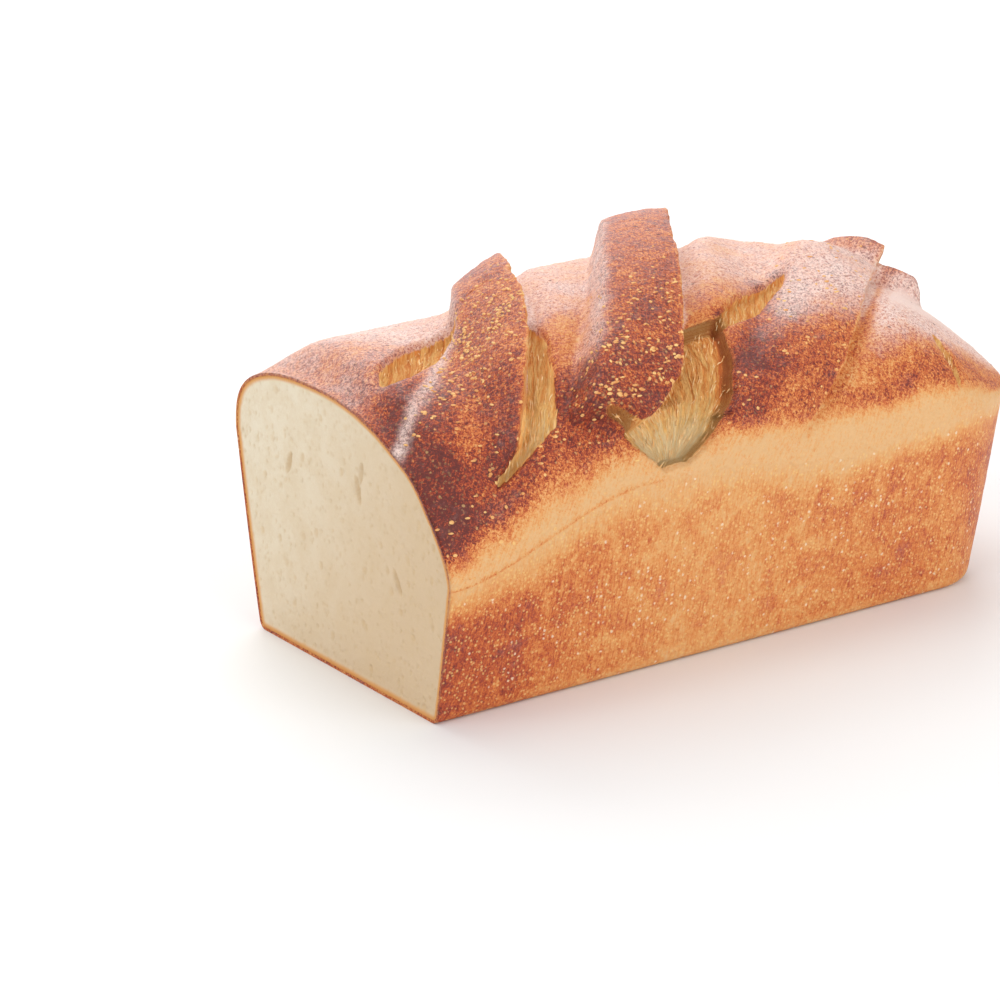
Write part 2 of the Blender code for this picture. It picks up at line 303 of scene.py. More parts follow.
@dataclass(frozen=True)
class Ridge:
    """Strip of crust that stands up between two slashes.

    The reach is the arc where it starts, the softness of that, the arc where it stops and the
    softness of that. The bank is the width of its left slope down the front and behind the crest.
    The hollow beside its right edge is a depth and a width. The tip bows out by the bow, and its
    left part may fade out over a softer way.
    """

    left: Edge
    right: Edge
    bank: tuple[float, float]
    reach: tuple[float, float, float, float]
    hollow: tuple[float, float]
    base: float
    base_behind: float = 0.0
    tilt: float = 0.0
    tilt_behind: float = 0.0
    crown: float = 0.0
    bow: float = 0.0
    left_fade: float = 0.0
    fade_shares: tuple[float, float] = (0.55, 0.95)
    bow_power: float = 1.8
    lip: float = 0.0018

    def bank_width(self, arc: Array) -> Array:
        """Width of the slope on the left side."""
        return self.bank[0] + (self.bank[1] - self.bank[0]) * behind_crest(arc)

    def reached(self, arc: Array, tip: Array | float = 0.0, fade: Array | float = 0.0) -> Array:
        """Mask of the arcs that the ridge reaches, with its front end moved down and softened."""
        front, front_ease, back, back_ease = self.reach
        started = ease(front - tip - front_ease, front - tip + front_ease + fade, arc)
        return started * (1 - ease(back - back_ease, back + back_ease, arc))

    def tip(self, width: Array) -> Array:
        """How far the front end is moved down at a share of the width."""
        return self.bow * np.sin(pi * width ** self.bow_power)

    def width_share(self, x: Array, arc: Array) -> Array:
        """Share of the width from the left edge to the right one."""
        from_left, from_right = x - self.left.at(arc), self.right.at(arc) - x
        return (from_left / (from_left + from_right)).clip(0.0, 1.0)

    def plateau(self, x: Array, arc: Array) -> Array:
        """Mask of 0 to 1 between the two edges."""
        from_left, from_right = x - self.left.at(arc), self.right.at(arc) - x
        rim = ease(-self.bank_width(arc), 0.0, from_left) * ease(-self.lip, 0.0, from_right)
        width = self.width_share(x, arc)
        fade = self.left_fade * (1 - ease(*self.fade_shares, width))
        return rim * self.reached(arc, self.tip(width), fade)

    def height(self, x: Array, arc: Array) -> Array:
        """Height of the ridge over the dome."""
        behind, width = behind_crest(arc), self.width_share(x, arc)
        top = self.base + self.base_behind * behind + (self.tilt + self.tilt_behind * behind) * width
        return self.plateau(x, arc) * (top + self.crown * width * (1 - width))

    def beside(self, x: Array, arc: Array) -> Array:
        """Distance out from the right edge, negative on the ridge."""
        return x - self.right.at(arc)

    def hollow_depth(self, x: Array, arc: Array) -> Array:
        """Depth of the hollow that runs beside the right edge."""
        depth, width = self.hollow
        out = self.beside(x, arc)
        return depth * ease(0.0, self.lip, out) * (1 - ease(self.lip, width, out)) * self.reached(arc)


def behind_crest(arc: Array) -> Array:
    """Rise from 0 down the front to 1 behind the crest."""
    return ease(*CREST_ARCS, arc)


@dataclass(frozen=True)
class Oval:
    """Slanted oval patch, with the amount that it is hollowed or browned by.

    On the dome its middle is a station and an arc, and on the cut face a place across and a height.
    """

    station: float
    arc: float
    half_length: float
    half_width: float
    slant: float
    amount: float

    def along(self, x: Array, arc: Array) -> Array:
        """Way along the oval from its middle, 1 at its end."""
        angle = radians(self.slant)
        return ((x - self.station) * cos(angle) + (arc - self.arc) * sin(angle)) / self.half_length

    def aside(self, x: Array, arc: Array) -> Array:
        """Way to the side from the oval's long axis, 1 at its edge."""
        angle = radians(self.slant)
        return (-(x - self.station) * sin(angle) + (arc - self.arc) * cos(angle)) / self.half_width

    def mask(self, x: Array, arc: Array, soft: float = 0.4, middle: float = 0.95) -> Array:
        """1 inside the oval and 0 outside, over a soft edge round a middle line."""
        reach = np.hypot(self.along(x, arc), self.aside(x, arc))
        return 1 - ease(middle - soft / 2, middle + soft / 2, reach)


@dataclass(frozen=True)
class Burst:
    """Wedge of torn crumb below the tongue, which opens from its tip at the seam."""

    tip: tuple[float, float] = (0.086, -0.0935)
    top: tuple[float, float] = (0.102, -0.040)
    tip_half: float = 0.004
    half_width: float = 0.025
    depth: float = 0.0050
    left_spread: float = 0.31
    spread_arcs: tuple[float, float] = (-0.094, -0.068)
    side_edge: tuple[float, float] = (0.90, 1.05)
    tip_edge: tuple[float, float] = (0.0, 0.04)
    top_edge: tuple[float, float] = (0.9, 1.1)

    def up(self, arc: Array) -> Array:
        """Share of the way from the tip to the top."""
        return (arc - self.tip[1]) / (self.top[1] - self.tip[1])

    def aside(self, x: Array, arc: Array) -> Array:
        """Way to the side of the wedge's middle, 1 at its edge."""
        up = self.up(arc)
        middle = self.tip[0] + (self.top[0] - self.tip[0]) * up
        half = self.tip_half + self.half_width * (1 - (1 - up.clip(0.0, 1.0)) ** 3)
        spread = 1 + self.left_spread * ease(*self.spread_arcs, arc)
        return (x - middle) / np.where(x < middle, half * spread, half)

    def mask(self, x: Array, arc: Array) -> Array:
        """1 inside the wedge and 0 outside."""
        up = self.up(arc)
        between = 1 - ease(*self.side_edge, np.abs(self.aside(x, arc)))
        return between * ease(*self.tip_edge, up) * (1 - ease(*self.top_edge, up))


@dataclass(frozen=True)
class Slashes:
    """Everything that the slashing and the rising made of the plain dome."""

    near: Ridge = Ridge(
        Edge(0.0565, 0.75, 8.2, 0.72), Edge(0.0755, 0.48, 2.2, 0.55), (0.009, 0.0065),
        (-0.067, 0.003, 0.048, 0.016), (0.0020, 0.013),
        base=0.0005, base_behind=0.006, tilt=0.006, tilt_behind=-0.0045, left_fade=0.022,
    )
    tongue: Ridge = Ridge(
        Edge(0.1125, 0.74, 0.8, 0.83), Edge(0.1385, 0.68, 0.6, 0.78), (0.0085, 0.0085),
        (-0.070, 0.0025, 0.048, 0.016), (0.0030, 0.018),
        base=0.0115, crown=0.0036, bow=0.009,
    )
    far: Ridge = Ridge(
        Edge(0.1960, 0.95, 0.4, 0.76), Edge(0.2250, 0.80, 2.4, 0.65), (0.014, 0.014),
        (-0.082, 0.012, 0.008, 0.018), (0.0015, 0.013),
        base=0.0030, base_behind=0.0025, crown=0.0040,
    )
    opening: Oval = Oval(0.032, -0.011, 0.024, 0.0068, 25, 0.0040)
    upper_burst: Oval = Oval(0.149, -0.0325, 0.028, 0.0038, 29, 0.0030)
    end_slit: Oval = Oval(0.209, -0.070, 0.014, 0.0028, 88, 0.0012)
    back_rib: Oval = Oval(0.224, 0.003, 0.024, 0.0075, 103, -0.0080)
    burst: Burst = Burst()
    lens_arcs: tuple[float, float] = (-0.0735, -0.022)
    lens_width: float = 0.0150
    lens_depth: float = 0.0030
    lens_under: float = 0.007
    lens_power: float = 0.55
    lens_point: float = 0.001
    tongue_edge: float = 0.002
    tip_clearance: float = 0.004
    rim_clearance: tuple[float, float] = (0.0010, 0.0034)
    bare_arcs: tuple[float, float] = (-0.062, -0.050)
    lean: float = 0.72

    @property
    def ridges(self) -> tuple[Ridge, ...]:
        """The three ridges from the near end to the far one."""
        return self.near, self.tongue, self.far

    @property
    def ovals(self) -> tuple[Oval, ...]:
        """The torn ovals and the flap at the back."""
        return self.opening, self.upper_burst, self.end_slit, self.back_rib

    def lens(self, x: Array, arc: Array) -> Array:
        """Mask of the lens-shaped tear beside the near ridge."""
        low, high = self.lens_arcs
        up = (arc - low) / (high - low)
        inside = up.clip(0.0, 1.0)
        width = self.lens_width * (1 - inside) ** self.lens_power * np.sqrt((inside / 0.10).clip(0.0, 1.0))
        width = width + self.lens_point
        under = self.lens_under * (1 - ease(self.near.reach[0] - 0.003, self.near.reach[0], arc))
        out = self.near.beside(x, arc) + under
        mask = ease(0.0, self.near.lip, out) * (1 - ease(0.85, 1.15, (out - under) / width))
        return mask * ease(0.0, 0.06, up) * (1 - ease(0.92, 1.0, up))

    def below_tongue(self, x: Array, arc: Array) -> Array:
        """Mask of the burst, which ends at the tongue's right edge above the tongue's tip."""
        tip = self.tongue.reach[0]
        right = ease(0.0, self.tongue_edge, self.tongue.beside(x, arc))
        below = 1 - ease(tip, tip + self.tip_clearance, arc)
        return self.burst.mask(x, arc) * np.maximum(right, below)

    def relief(self, x: Array, arc: Array) -> Array:
        """Height of the crust over the plain dome."""
        height = sum(ridge.height(x, arc) - ridge.hollow_depth(x, arc) for ridge in self.ridges)
        for patch in self.ovals:
            height = height - patch.amount * patch.mask(x, arc)
        height = height - self.burst.depth * self.below_tongue(x, arc) * (1 - self.tongue.plateau(x, arc))
        return height - self.lens_depth * self.lens(x, arc)

    def torn(self, x: Array, arc: Array) -> Array:
        """Mask of the torn crumb, whose crust has come away."""
        on_tongue = ease(0.70, 0.95, self.tongue.plateau(x, arc))
        mask = self.below_tongue(x, arc)
        for patch in (self.opening, self.upper_burst, self.end_slit):
            mask = np.maximum(mask, patch.mask(x, arc, 0.3))
        past_rim = ease(*self.rim_clearance, self.near.beside(x, arc))
        clear = np.maximum(past_rim, 1 - ease(*self.bare_arcs, arc))
        return np.maximum(mask, self.lens(x, arc) * clear) * (1 - on_tongue)


class Graph:
    """Node tree that is written down as nested calls."""

    def __init__(self, tree: bpy.types.NodeTree) -> None:
        """Write into a tree."""
        self.tree = tree

    def feed(self, node: bpy.types.Node, key: str, value: Any) -> None:
        """Link a socket to a node's input, or set the input's own value."""
        found = [s for s in node.inputs if s.enabled and key in (s.identifier, s.name)]
        if isinstance(value, Socket):
            self.tree.links.new(value, found[0])
        else:
            found[0].default_value = value

    def add(self, kind: str, inputs: dict[str, Any] | None = None, **settings: Any) -> bpy.types.Node:
        """Add one node.

        Args:
            kind: Blender's name for the node.
            inputs: Value or socket for each input, by its name or identifier.
            settings: The node's own properties.

        Returns:
            The new node.
        """
        node = self.tree.nodes.new(kind)
        for key, value in settings.items():
            setattr(node, key, value)
        for key, value in (inputs or {}).items():
            self.feed(node, key, value)
        return node

    def out(self, kind: str, output: str, inputs: dict[str, Any] | None = None, **settings: Any) -> Socket:
        """Add one node and give its output of that name."""
        node = self.add(kind, inputs, **settings)
        return next(s for s in node.outputs if s.enabled and output in (s.identifier, s.name))

    def math(self, operation: str, first: Any, second: Any = 0.0, third: Any = 0.0) -> Socket:
        """Result of a Math node on up to three numbers."""
        values = {"Value": first, "Value_001": second}
        if operation == "MULTIPLY_ADD":
            values["Value_002"] = third
        return self.out("ShaderNodeMath", "Value", values, operation=operation)

    def vector(self, operation: str, first: Any, second: Any = None, scale: Any = None) -> Socket:
        """Result of a Vector Math node."""
        values = {"Vector": first}
        if second is not None:
            values["Vector_001"] = second
        if scale is not None:
            values["Scale"] = scale
        return self.out("ShaderNodeVectorMath", "Vector", values, operation=operation)

    def ease(self, value: Any, low: Any, high: Any, start: Any = 0.0, end: Any = 1.0) -> Socket:
        """Carry a value from the range low to high onto start to end, with level ends."""
        limits = {"Value": value, "From Min": low, "From Max": high, "To Min": start, "To Max": end}
        return self.out("ShaderNodeMapRange", "Result", limits, interpolation_type="SMOOTHSTEP")

    def centred(self, value: Any) -> Socket:
        """A value of 0 to 1 moved to -0.5 to 0.5."""
        return self.math("SUBTRACT", value, 0.5)

    def mix(self, share: Any, first: Any, second: Any) -> Socket:
        """Mix two colours."""
        values = {"Factor_Float": share, "A_Color": first, "B_Color": second}
        return self.out("ShaderNodeMix", "Result_Color", values, data_type="RGBA")

    def noise(self, places: Any, scale: Any, detail: float, rough: float = 0.55, bend: Any = 0.0) -> Socket:
        """Noise of about 0.2 to 0.8 with scale features to the unit."""
        values = {"Vector": places, "Scale": scale, "Detail": detail, "Roughness": rough, "Distortion": bend}
        return self.out("ShaderNodeTexNoise", "Fac", values)

    def cells(self, places: Any, scale: Any) -> Socket:
        """Distance to the nearest point of a scatter of cells."""
        return self.out("ShaderNodeTexVoronoi", "Distance", {"Vector": places, "Scale": scale})

    def bump(self, height: Any, strength: float, distance: float) -> Socket:
        """Normal of a fine relief of that height."""
        values = {"Strength": strength, "Distance": distance, "Height": height}
        return self.out("ShaderNodeBump", "Normal", values)

    def shifted(self, geometry: Socket, offset: Socket) -> Socket:
        """Geometry whose points are moved by an offset."""
        values = {"Geometry": geometry, "Offset": offset}
        return self.out("GeometryNodeSetPosition", "Geometry", values)

    def strewn(self, mesh: Socket, density: Socket, seed: int) -> bpy.types.Node:
        """Node that strews points over a mesh at random, so many to the square metre."""
        values = {"Mesh": mesh, "Density": density, "Seed": seed}
        return self.add("GeometryNodeDistributePointsOnFaces", values)

    def chance(self, low: tuple, high: tuple, seed: int) -> Socket:
        """Random vector between two limits for each point."""
        limits = {"Min": low, "Max": high, "Seed": seed}
        return self.out("FunctionNodeRandomValue", "Value", limits, data_type="FLOAT_VECTOR")

    def stretch(self, places: Any, scales: tuple[float, float, float]) -> Socket:
        """Places scaled by a factor for each axis."""
        return self.vector("MULTIPLY", places, scales)

    def ramp(self, value: Any, stops: tuple[tuple[float, tuple], ...]) -> Socket:
        """Colour read off a ramp of (place, colour) stops."""
        node = self.add("ShaderNodeValToRGB", {"Fac": value})
        ramp = node.color_ramp
        while len(ramp.elements) < len(stops):
            ramp.elements.new(0.5)
        for element, (place, colour) in zip(ramp.elements, stops):
            element.position = place
            element.color = colour
        return node.outputs["Color"]

    def group(self, tree: bpy.types.NodeTree, inputs: dict[str, Any], output: str) -> Socket:
        """Place a node group and give one of its outputs."""
        node = self.tree.nodes.new(self.tree.bl_idname.replace("NodeTree", "NodeGroup"))
        node.node_tree = tree
        for key, value in inputs.items():
            self.feed(node, key, value)
        return node.outputs[output]


def shader_group(
    name: str, inputs: dict[str, tuple[str, Any]], output: tuple[str, str]
) -> tuple[Graph, dict[str, Socket], bpy.types.Node]:
    """Start a shader node group.

    Args:
        name: Name of the group.
        inputs: Socket type and value of each input, by its name.
        output: Name and socket type of the group's output.

    Returns:
        The graph to write in, the input sockets by name, and the group's output node.
    """
    tree = bpy.data.node_groups.new(name, "ShaderNodeTree")
    for key, (kind, value) in inputs.items():
        socket = tree.interface.new_socket(name=key, in_out="INPUT", socket_type=kind)
        if value is not None:
            socket.default_value = value
    tree.interface.new_socket(name=output[0], in_out="OUTPUT", socket_type=output[1])
    graph = Graph(tree)
    entry = graph.add("NodeGroupInput")
    return graph, {key: entry.outputs[key] for key in inputs}, graph.add("NodeGroupOutput")


@dataclass
class Effects:
    """Shader effects that several finishes share, each built once."""

    mottle: bpy.types.NodeTree = field(init=False)
    strands: bpy.types.NodeTree = field(init=False)
    freckles: bpy.types.NodeTree = field(init=False)

    def __post_init__(self) -> None:
        """Build the groups."""
        self.mottle = self.build_mottle()
        self.strands = self.build_strands()
        self.freckles = self.build_freckles()

    def build_mottle(self) -> bpy.types.NodeTree:
        """Uneven browning: broad clouds with fine grain in them, about -0.5 to 0.5."""
        graph, given, result = shader_group(
            "browning mottle",
            {
                "Places": ("NodeSocketVector", None),
                "Cloud Scale": ("NodeSocketFloat", 140.0),
                "Grain Scale": ("NodeSocketFloat", 1100.0),
                "Grain Share": ("NodeSocketFloat", 0.5),
            },
            ("Mottle", "NodeSocketFloat"),
        )
        cloud = graph.noise(given["Places"], given["Cloud Scale"], 4.0, 0.6, 0.4)
        grain = graph.noise(given["Places"], given["Grain Scale"], 3.0, 0.6)
        both = graph.math("MULTIPLY_ADD", graph.centred(grain), given["Grain Share"], cloud)
        graph.feed(result, "Mottle", graph.centred(both))
        return graph.tree

    def build_strands(self) -> bpy.types.NodeTree:
        """Fibres drawn out along the second axis of the grain, 0 to 1."""
        graph, given, result = shader_group(
            "drawn strands",
            {
                "Grain": ("NodeSocketVector", None),
                "Across Scale": ("NodeSocketFloat", 1000.0),
                "Along Scale": ("NodeSocketFloat", 90.0),
                "Bend": ("NodeSocketFloat", 0.6),
            },
            ("Strands", "NodeSocketFloat"),
        )
        parts = graph.add("ShaderNodeSeparateXYZ", {"Vector": given["Grain"]})
        across = graph.math("MULTIPLY", parts.outputs["X"], given["Across Scale"])
        along = graph.math("MULTIPLY", parts.outputs["Y"], given["Along Scale"])
        drawn_out = {"X": across, "Y": along, "Z": parts.outputs["Z"]}
        places = graph.out("ShaderNodeCombineXYZ", "Vector", drawn_out)
        strands = graph.noise(places, 1.0, 4.0, 0.6, given["Bend"])
        graph.feed(result, "Strands", graph.ease(strands, 0.3, 0.7))
        return graph.tree

    def build_freckles(self) -> bpy.types.NodeTree:
        """Small round specks scattered at random, 0 to 1."""
        graph, given, result = shader_group(
            "freckles",
            {
                "Places": ("NodeSocketVector", None),
                "Scale": ("NodeSocketFloat", 500.0),
                "Size": ("NodeSocketFloat", 0.3),
                "Share": ("NodeSocketFloat", 0.5),
            },
            ("Freckles", "NodeSocketFloat"),
        )
        warp = graph.noise(given["Places"], graph.math("MULTIPLY", given["Scale"], 1.9), 2.0, 0.7)
        node = graph.add("ShaderNodeTexVoronoi", {"Vector": given["Places"], "Scale": given["Scale"]})
        reach = graph.math("MULTIPLY_ADD", graph.centred(warp), 0.75, node.outputs["Distance"])
        speck = graph.ease(reach, given["Size"], graph.math("MULTIPLY", given["Size"], 0.4))
        chance = graph.add("ShaderNodeSeparateColor", {"Color": node.outputs["Color"]})
        kept = graph.math("LESS_THAN", chance.outputs["Red"], given["Share"])
        graph.feed(result, "Freckles", graph.math("MULTIPLY", speck, kept))
        return graph.tree


def new_material(name: str, constants: dict[str, Any]) -> tuple[bpy.types.Material, Graph, bpy.types.Node]:
    """Start a material whose Principled BSDF has the given constant sockets.

    Args:
        name: Name of the material.
        constants: Values set on the shader's own sockets.

    Returns:
        The material, its graph and its Principled BSDF.
    """
    material = bpy.data.materials.new(name)
    material.use_nodes = True
    shader = material.node_tree.nodes["Principled BSDF"]
    for key, value in constants.items():
        shader.inputs[key].default_value = value
    return material, Graph(material.node_tree), shader


@dataclass(frozen=True)
class CrustFinish:
    """Baked crust: cream through gold and orange to mahogany, with torn crumb where it tore.

    It reads the mesh's attributes: bake, how far the crust has browned; the painted sheen, how far a
    pale highlight is painted into the colour where the lights would gleam; torn, where the crumb shows,
    and tone, how pale that is; specks, the share of gold flakes and, on the walls, of flour; wall, the
    tin-baked sides; grain, the way across and along the slashes.
    Strands are given by their scales across and along and their bend, and dots, flakes and pits by
    their scale, their size in it and, where the mesh doesn't say it, the share that shows.
    """

    effects: Effects
    browning: tuple[tuple[float, tuple], ...] = (
        (0.00, linear(230, 182, 126)),
        (0.14, linear(231, 169, 102)),
        (0.30, linear(226, 148, 78)),
        (0.45, linear(212, 118, 54)),
        (0.60, linear(192, 84, 36)),
        (0.74, linear(160, 58, 28)),
        (0.88, linear(130, 42, 26)),
        (1.00, linear(98, 32, 24)),
    )
    torn_tones: tuple[tuple[float, tuple], ...] = (
        (0.00, linear(206, 108, 44)),
        (0.22, linear(232, 150, 72)),
        (0.50, linear(250, 198, 120)),
        (1.00, linear(255, 230, 180)),
    )
    # Colour of the painted sheen: the pale pinkish highlight that the lights would lay on the glossy crust.
    sheen: tuple = linear(245, 218, 208)
    flake: tuple = linear(240, 196, 124)
    flour: tuple = linear(248, 226, 194)
    pit: tuple = linear(104, 36, 28)
    roughness: float = 0.52
    torn_roughness: float = 0.80
    coat: float = 0.08
    cloud_scale: float = 85.0
    grain_scale: float = 420.0
    grit_scale: float = 1150.0
    grit_contrast: float = 2.6
    fine_strands: tuple[float, float, float] = (1300.0, 190.0, 1.2)
    coarse_strands: tuple[float, float, float] = (480.0, 55.0, 1.0)
    strand_shares: tuple[float, float, float] = (0.24, 0.36, 0.40)
    dots: tuple[float, float, float] = (720.0, 0.40, 0.66)
    flakes: tuple[float, float] = (560.0, 0.34)
    pits: tuple[float, float, float] = (330.0, 0.16, 0.16)
    pimple_scale: float = 620.0
    crackle_scale: float = 1300.0
    relief_strength: float = 0.85
    relief_distance: float = 0.0006

    def material(self) -> bpy.types.Material:
        """Build the material."""
        made, graph, shader = new_material("baked_crust", {"IOR": 1.45, "Coat Roughness": 0.30})
        places = graph.out("ShaderNodeTexCoord", "Object")
        values = ("bake", "torn", "wall", "tone", "painted_sheen", "specks")
        bake, torn, wall, tone, painted_sheen, specks = (
            graph.out("ShaderNodeAttribute", "Fac", attribute_name=name) for name in values
        )
        grain = graph.out("ShaderNodeAttribute", "Vector", attribute_name="grain")
        scales = {"Cloud Scale": self.cloud_scale, "Grain Scale": self.grain_scale}
        mottle = graph.group(self.effects.mottle, {"Places": places, **scales}, "Mottle")
        fine = self.strands(graph, grain, self.fine_strands)
        coarse = self.strands(graph, grain, self.coarse_strands)
        grit = graph.noise(places, self.grit_scale, 4.0, 0.75, 0.8)
        skin = self.skin(graph, {"bake": bake, "wall": wall, "mottle": mottle, "grit": grit, "fine": fine})
        # Painted sheen: the skin is paled towards the sheen colour, as a highlight would pale it.
        skin = self.sheened(graph, skin, painted_sheen, mottle, grit)
        skin = self.specked(graph, places, skin, wall, specks)
        skin = self.pitted(graph, places, skin, painted_sheen)
        crumb = self.torn_crumb(graph, tone, fine, coarse, grit)
        ragged = graph.math("MULTIPLY_ADD", mottle, 0.45, torn)
        ragged = graph.math("MULTIPLY_ADD", graph.centred(coarse), 0.30, ragged)
        open_crumb = graph.ease(ragged, 0.40, 0.60)
        graph.feed(shader, "Base Color", graph.mix(open_crumb, skin, crumb))
        gloss = graph.math("MULTIPLY_ADD", grit, 0.30, self.roughness - 0.15)
        graph.feed(shader, "Roughness", graph.ease(open_crumb, 0.0, 1.0, gloss, self.torn_roughness))
        graph.feed(shader, "Coat Weight", graph.ease(open_crumb, 0.0, 1.0, self.coat, 0.0))
        relief = self.micro_relief(graph, places, fine, coarse, graph.ease(torn, 0.40, 0.60))
        graph.feed(shader, "Normal", graph.bump(relief, self.relief_strength, self.relief_distance))
        return made

    def strands(self, graph: Graph, grain: Socket, drawn: tuple[float, float, float]) -> Socket:
        """Strands of one thickness along the grain."""
        across, along, bend = drawn
        values = {"Grain": grain, "Across Scale": across, "Along Scale": along, "Bend": bend}
        return graph.group(self.effects.strands, values, "Strands")

    def skin(self, graph: Graph, given: dict[str, Socket]) -> Socket:
        """Colour of the browned skin with its grit, a fine random tone whose dark end also paints shade into
        the crevices.
        """
        contrast = graph.ease(given["bake"], 0.05, 0.65, 0.40, 1.0)
        rough = graph.math("SUBTRACT", 0.5, given["grit"])
        rough = graph.math("MULTIPLY", graph.math("MULTIPLY", rough, contrast), self.grit_contrast)
        rough = graph.math("MULTIPLY", rough, graph.ease(given["wall"], 0.0, 1.0, 1.0, 0.5))
        cloudy = graph.ease(given["bake"], 0.0, 0.4, 0.45, 0.80)
        drawn = graph.math("MULTIPLY", graph.math("SUBTRACT", 0.5, given["fine"]), 0.24)
        browned = graph.math("MULTIPLY_ADD", given["mottle"], cloudy, given["bake"])
        return graph.ramp(graph.math("ADD", browned, graph.math("ADD", rough, drawn)), self.browning)

    def sheened(self, graph: Graph, skin: Socket, painted_sheen: Socket, mottle: Socket, grit: Socket) -> Socket:
        """Skin with its painted sheen: a pale highlight mixed into the colour, broken up by the grit, and
        whole where it is strongest.
        """
        sheen_share = graph.ease(graph.math("MULTIPLY_ADD", mottle, 0.7, painted_sheen), 0.0, 0.9)
        sheen_share = graph.math("MULTIPLY", sheen_share, graph.ease(grit, 0.38, 0.58, 0.25, 1.0))
        full_sheen = graph.ease(painted_sheen, 0.9, 1.5, 0.0, 0.90)
        return graph.mix(graph.math("MAXIMUM", sheen_share, full_sheen), skin, self.sheen)

    def pitted(self, graph: Graph, places: Socket, skin: Socket, painted_sheen: Socket) -> Socket:
        """Skin with small dark pits where the painted sheen lies, which break up the painted highlight."""
        pits = self.freckles(graph, places, *self.pits)
        shown = graph.math("MULTIPLY", pits, graph.ease(painted_sheen, 0.1, 0.4, 0.0, 0.8))
        return graph.mix(shown, skin, self.pit)

    def torn_crumb(self, graph: Graph, tone: Socket, fine: Socket, coarse: Socket, grit: Socket) -> Socket:
        """Colour of the torn crumb, streaked along its strands."""
        for streaks, share in zip((fine, coarse, grit), self.strand_shares):
            tone = graph.math("MULTIPLY_ADD", graph.centred(streaks), share, tone)
        return graph.ramp(tone, self.torn_tones)

    def freckles(self, graph: Graph, places: Socket, scale: float, size: float, share: Any) -> Socket:
        """Specks of one scale, with their size in it and the share that shows."""
        values = {"Places": places, "Scale": scale, "Size": size, "Share": share}
        return graph.group(self.effects.freckles, values, "Freckles")

    def specked(self, graph: Graph, places: Socket, skin: Socket, wall: Socket, specks: Socket) -> Socket:
        """Skin with small pale dots on the walls, gold flakes on the ridges and flour."""
        dots = self.freckles(graph, places, *self.dots)
        dots = graph.math("MULTIPLY", dots, graph.ease(wall, 0.0, 1.0, 0.14, 0.70))
        skin = graph.mix(dots, skin, self.flake)
        flakes = self.freckles(graph, places, *self.flakes, specks)
        flakes = graph.math("MULTIPLY", flakes, graph.ease(wall, 0.0, 1.0, 0.45, 0.75))
        return graph.mix(flakes, skin, graph.mix(wall, self.flake, self.flour))

    def micro_relief(
        self, graph: Graph, places: Socket, fine: Socket, coarse: Socket, torn: Socket
    ) -> Socket:
        """Height of the pimples, the crackle and the torn strands."""
        pimples = graph.math("SUBTRACT", 1.0, graph.cells(places, self.pimple_scale))
        crackle = graph.noise(places, self.crackle_scale, 4.0, 0.70)
        skin = graph.math("MULTIPLY_ADD", pimples, 0.8, crackle)
        strands = graph.math("MULTIPLY_ADD", coarse, 1.3, fine)
        return graph.ease(torn, 0.0, 1.0, skin, strands)


@dataclass(frozen=True)
class CrumbFinish:
    """Soft cream crumb of the cut face, golden next to the crust, with painted shade that dims it towards
    the front and the bottom and in its pores.
    """

    effects: Effects
    cream: tuple = linear(238, 226, 202)
    shaded_cream: tuple = linear(218, 192, 158)
    shade: tuple = linear(216, 188, 146)
    golden: tuple = linear(222, 158, 88)
    roughness: float = 0.85
    cloud_scale: float = 90.0
    grain_scale: float = 1600.0
    cell_scale: float = 1500.0
    crumb_scale: float = 2200.0
    relief_strength: float = 0.5
    relief_distance: float = 0.0003

    def material(self) -> bpy.types.Material:
        """Build the material."""
        made, graph, shader = new_material("soft_crumb", {"Roughness": self.roughness})
        places = graph.out("ShaderNodeTexCoord", "Object")
        rim = graph.out("ShaderNodeAttribute", "Fac", attribute_name="rim")
        pore = graph.out("ShaderNodeAttribute", "Fac", attribute_name="pore")
        scales = {"Cloud Scale": self.cloud_scale, "Grain Scale": self.grain_scale}
        mottle = graph.group(self.effects.mottle, {"Places": places, **scales}, "Mottle")
        cloudy = graph.ease(graph.math("ADD", mottle, 0.5), 0.2, 0.8)
        parts = graph.add("ShaderNodeSeparateXYZ", {"Vector": places})
        # Painted shade: the crumb dims towards the front and the bottom of the cut face.
        towards_lit = graph.math("MULTIPLY_ADD", parts.outputs["Z"], 0.7, parts.outputs["Y"])
        flesh = graph.mix(graph.ease(towards_lit, -0.03, 0.11), self.shaded_cream, self.cream)
        flesh = graph.mix(graph.ease(cloudy, 0.0, 1.0, 0.32, 0.0), flesh, self.shade)
        # Painted shade in the pores: the crumb darkens by their depth.
        flesh = graph.mix(graph.math("MULTIPLY", pore, 0.45), flesh, self.shade)
        edge = graph.math("MULTIPLY_ADD", mottle, 0.35, rim)
        graph.feed(shader, "Base Color", graph.mix(graph.ease(edge, 0.1, 0.95), flesh, self.golden))
        fine = graph.cells(places, self.cell_scale)
        crumbs = graph.noise(places, self.crumb_scale, 3.0, 0.65)
        relief = graph.math("MULTIPLY_ADD", fine, 0.6, crumbs)
        graph.feed(shader, "Normal", graph.bump(relief, self.relief_strength, self.relief_distance))
        return made


@dataclass(frozen=True)
class PlainFinish:
    """Finish of small scattered bits: two tones mixed by a fine noise."""

    name: str
    first: tuple
    second: tuple
    roughness: float
    tone_scale: float = 420.0
    relief_scale: float = 2600.0
    relief_strength: float = 0.4
    relief_distance: float = 0.0002

    def material(self) -> bpy.types.Material:
        """Build the material."""
        made, graph, shader = new_material(self.name, {"Roughness": self.roughness})
        places = graph.out("ShaderNodeTexCoord", "Object")
        tone = graph.ease(graph.noise(places, self.tone_scale, 3.0), 0.3, 0.7)
        graph.feed(shader, "Base Color", graph.mix(tone, self.first, self.second))
        height = graph.noise(places, self.relief_scale, 2.0)
        graph.feed(shader, "Normal", graph.bump(height, self.relief_strength, self.relief_distance))
        return made


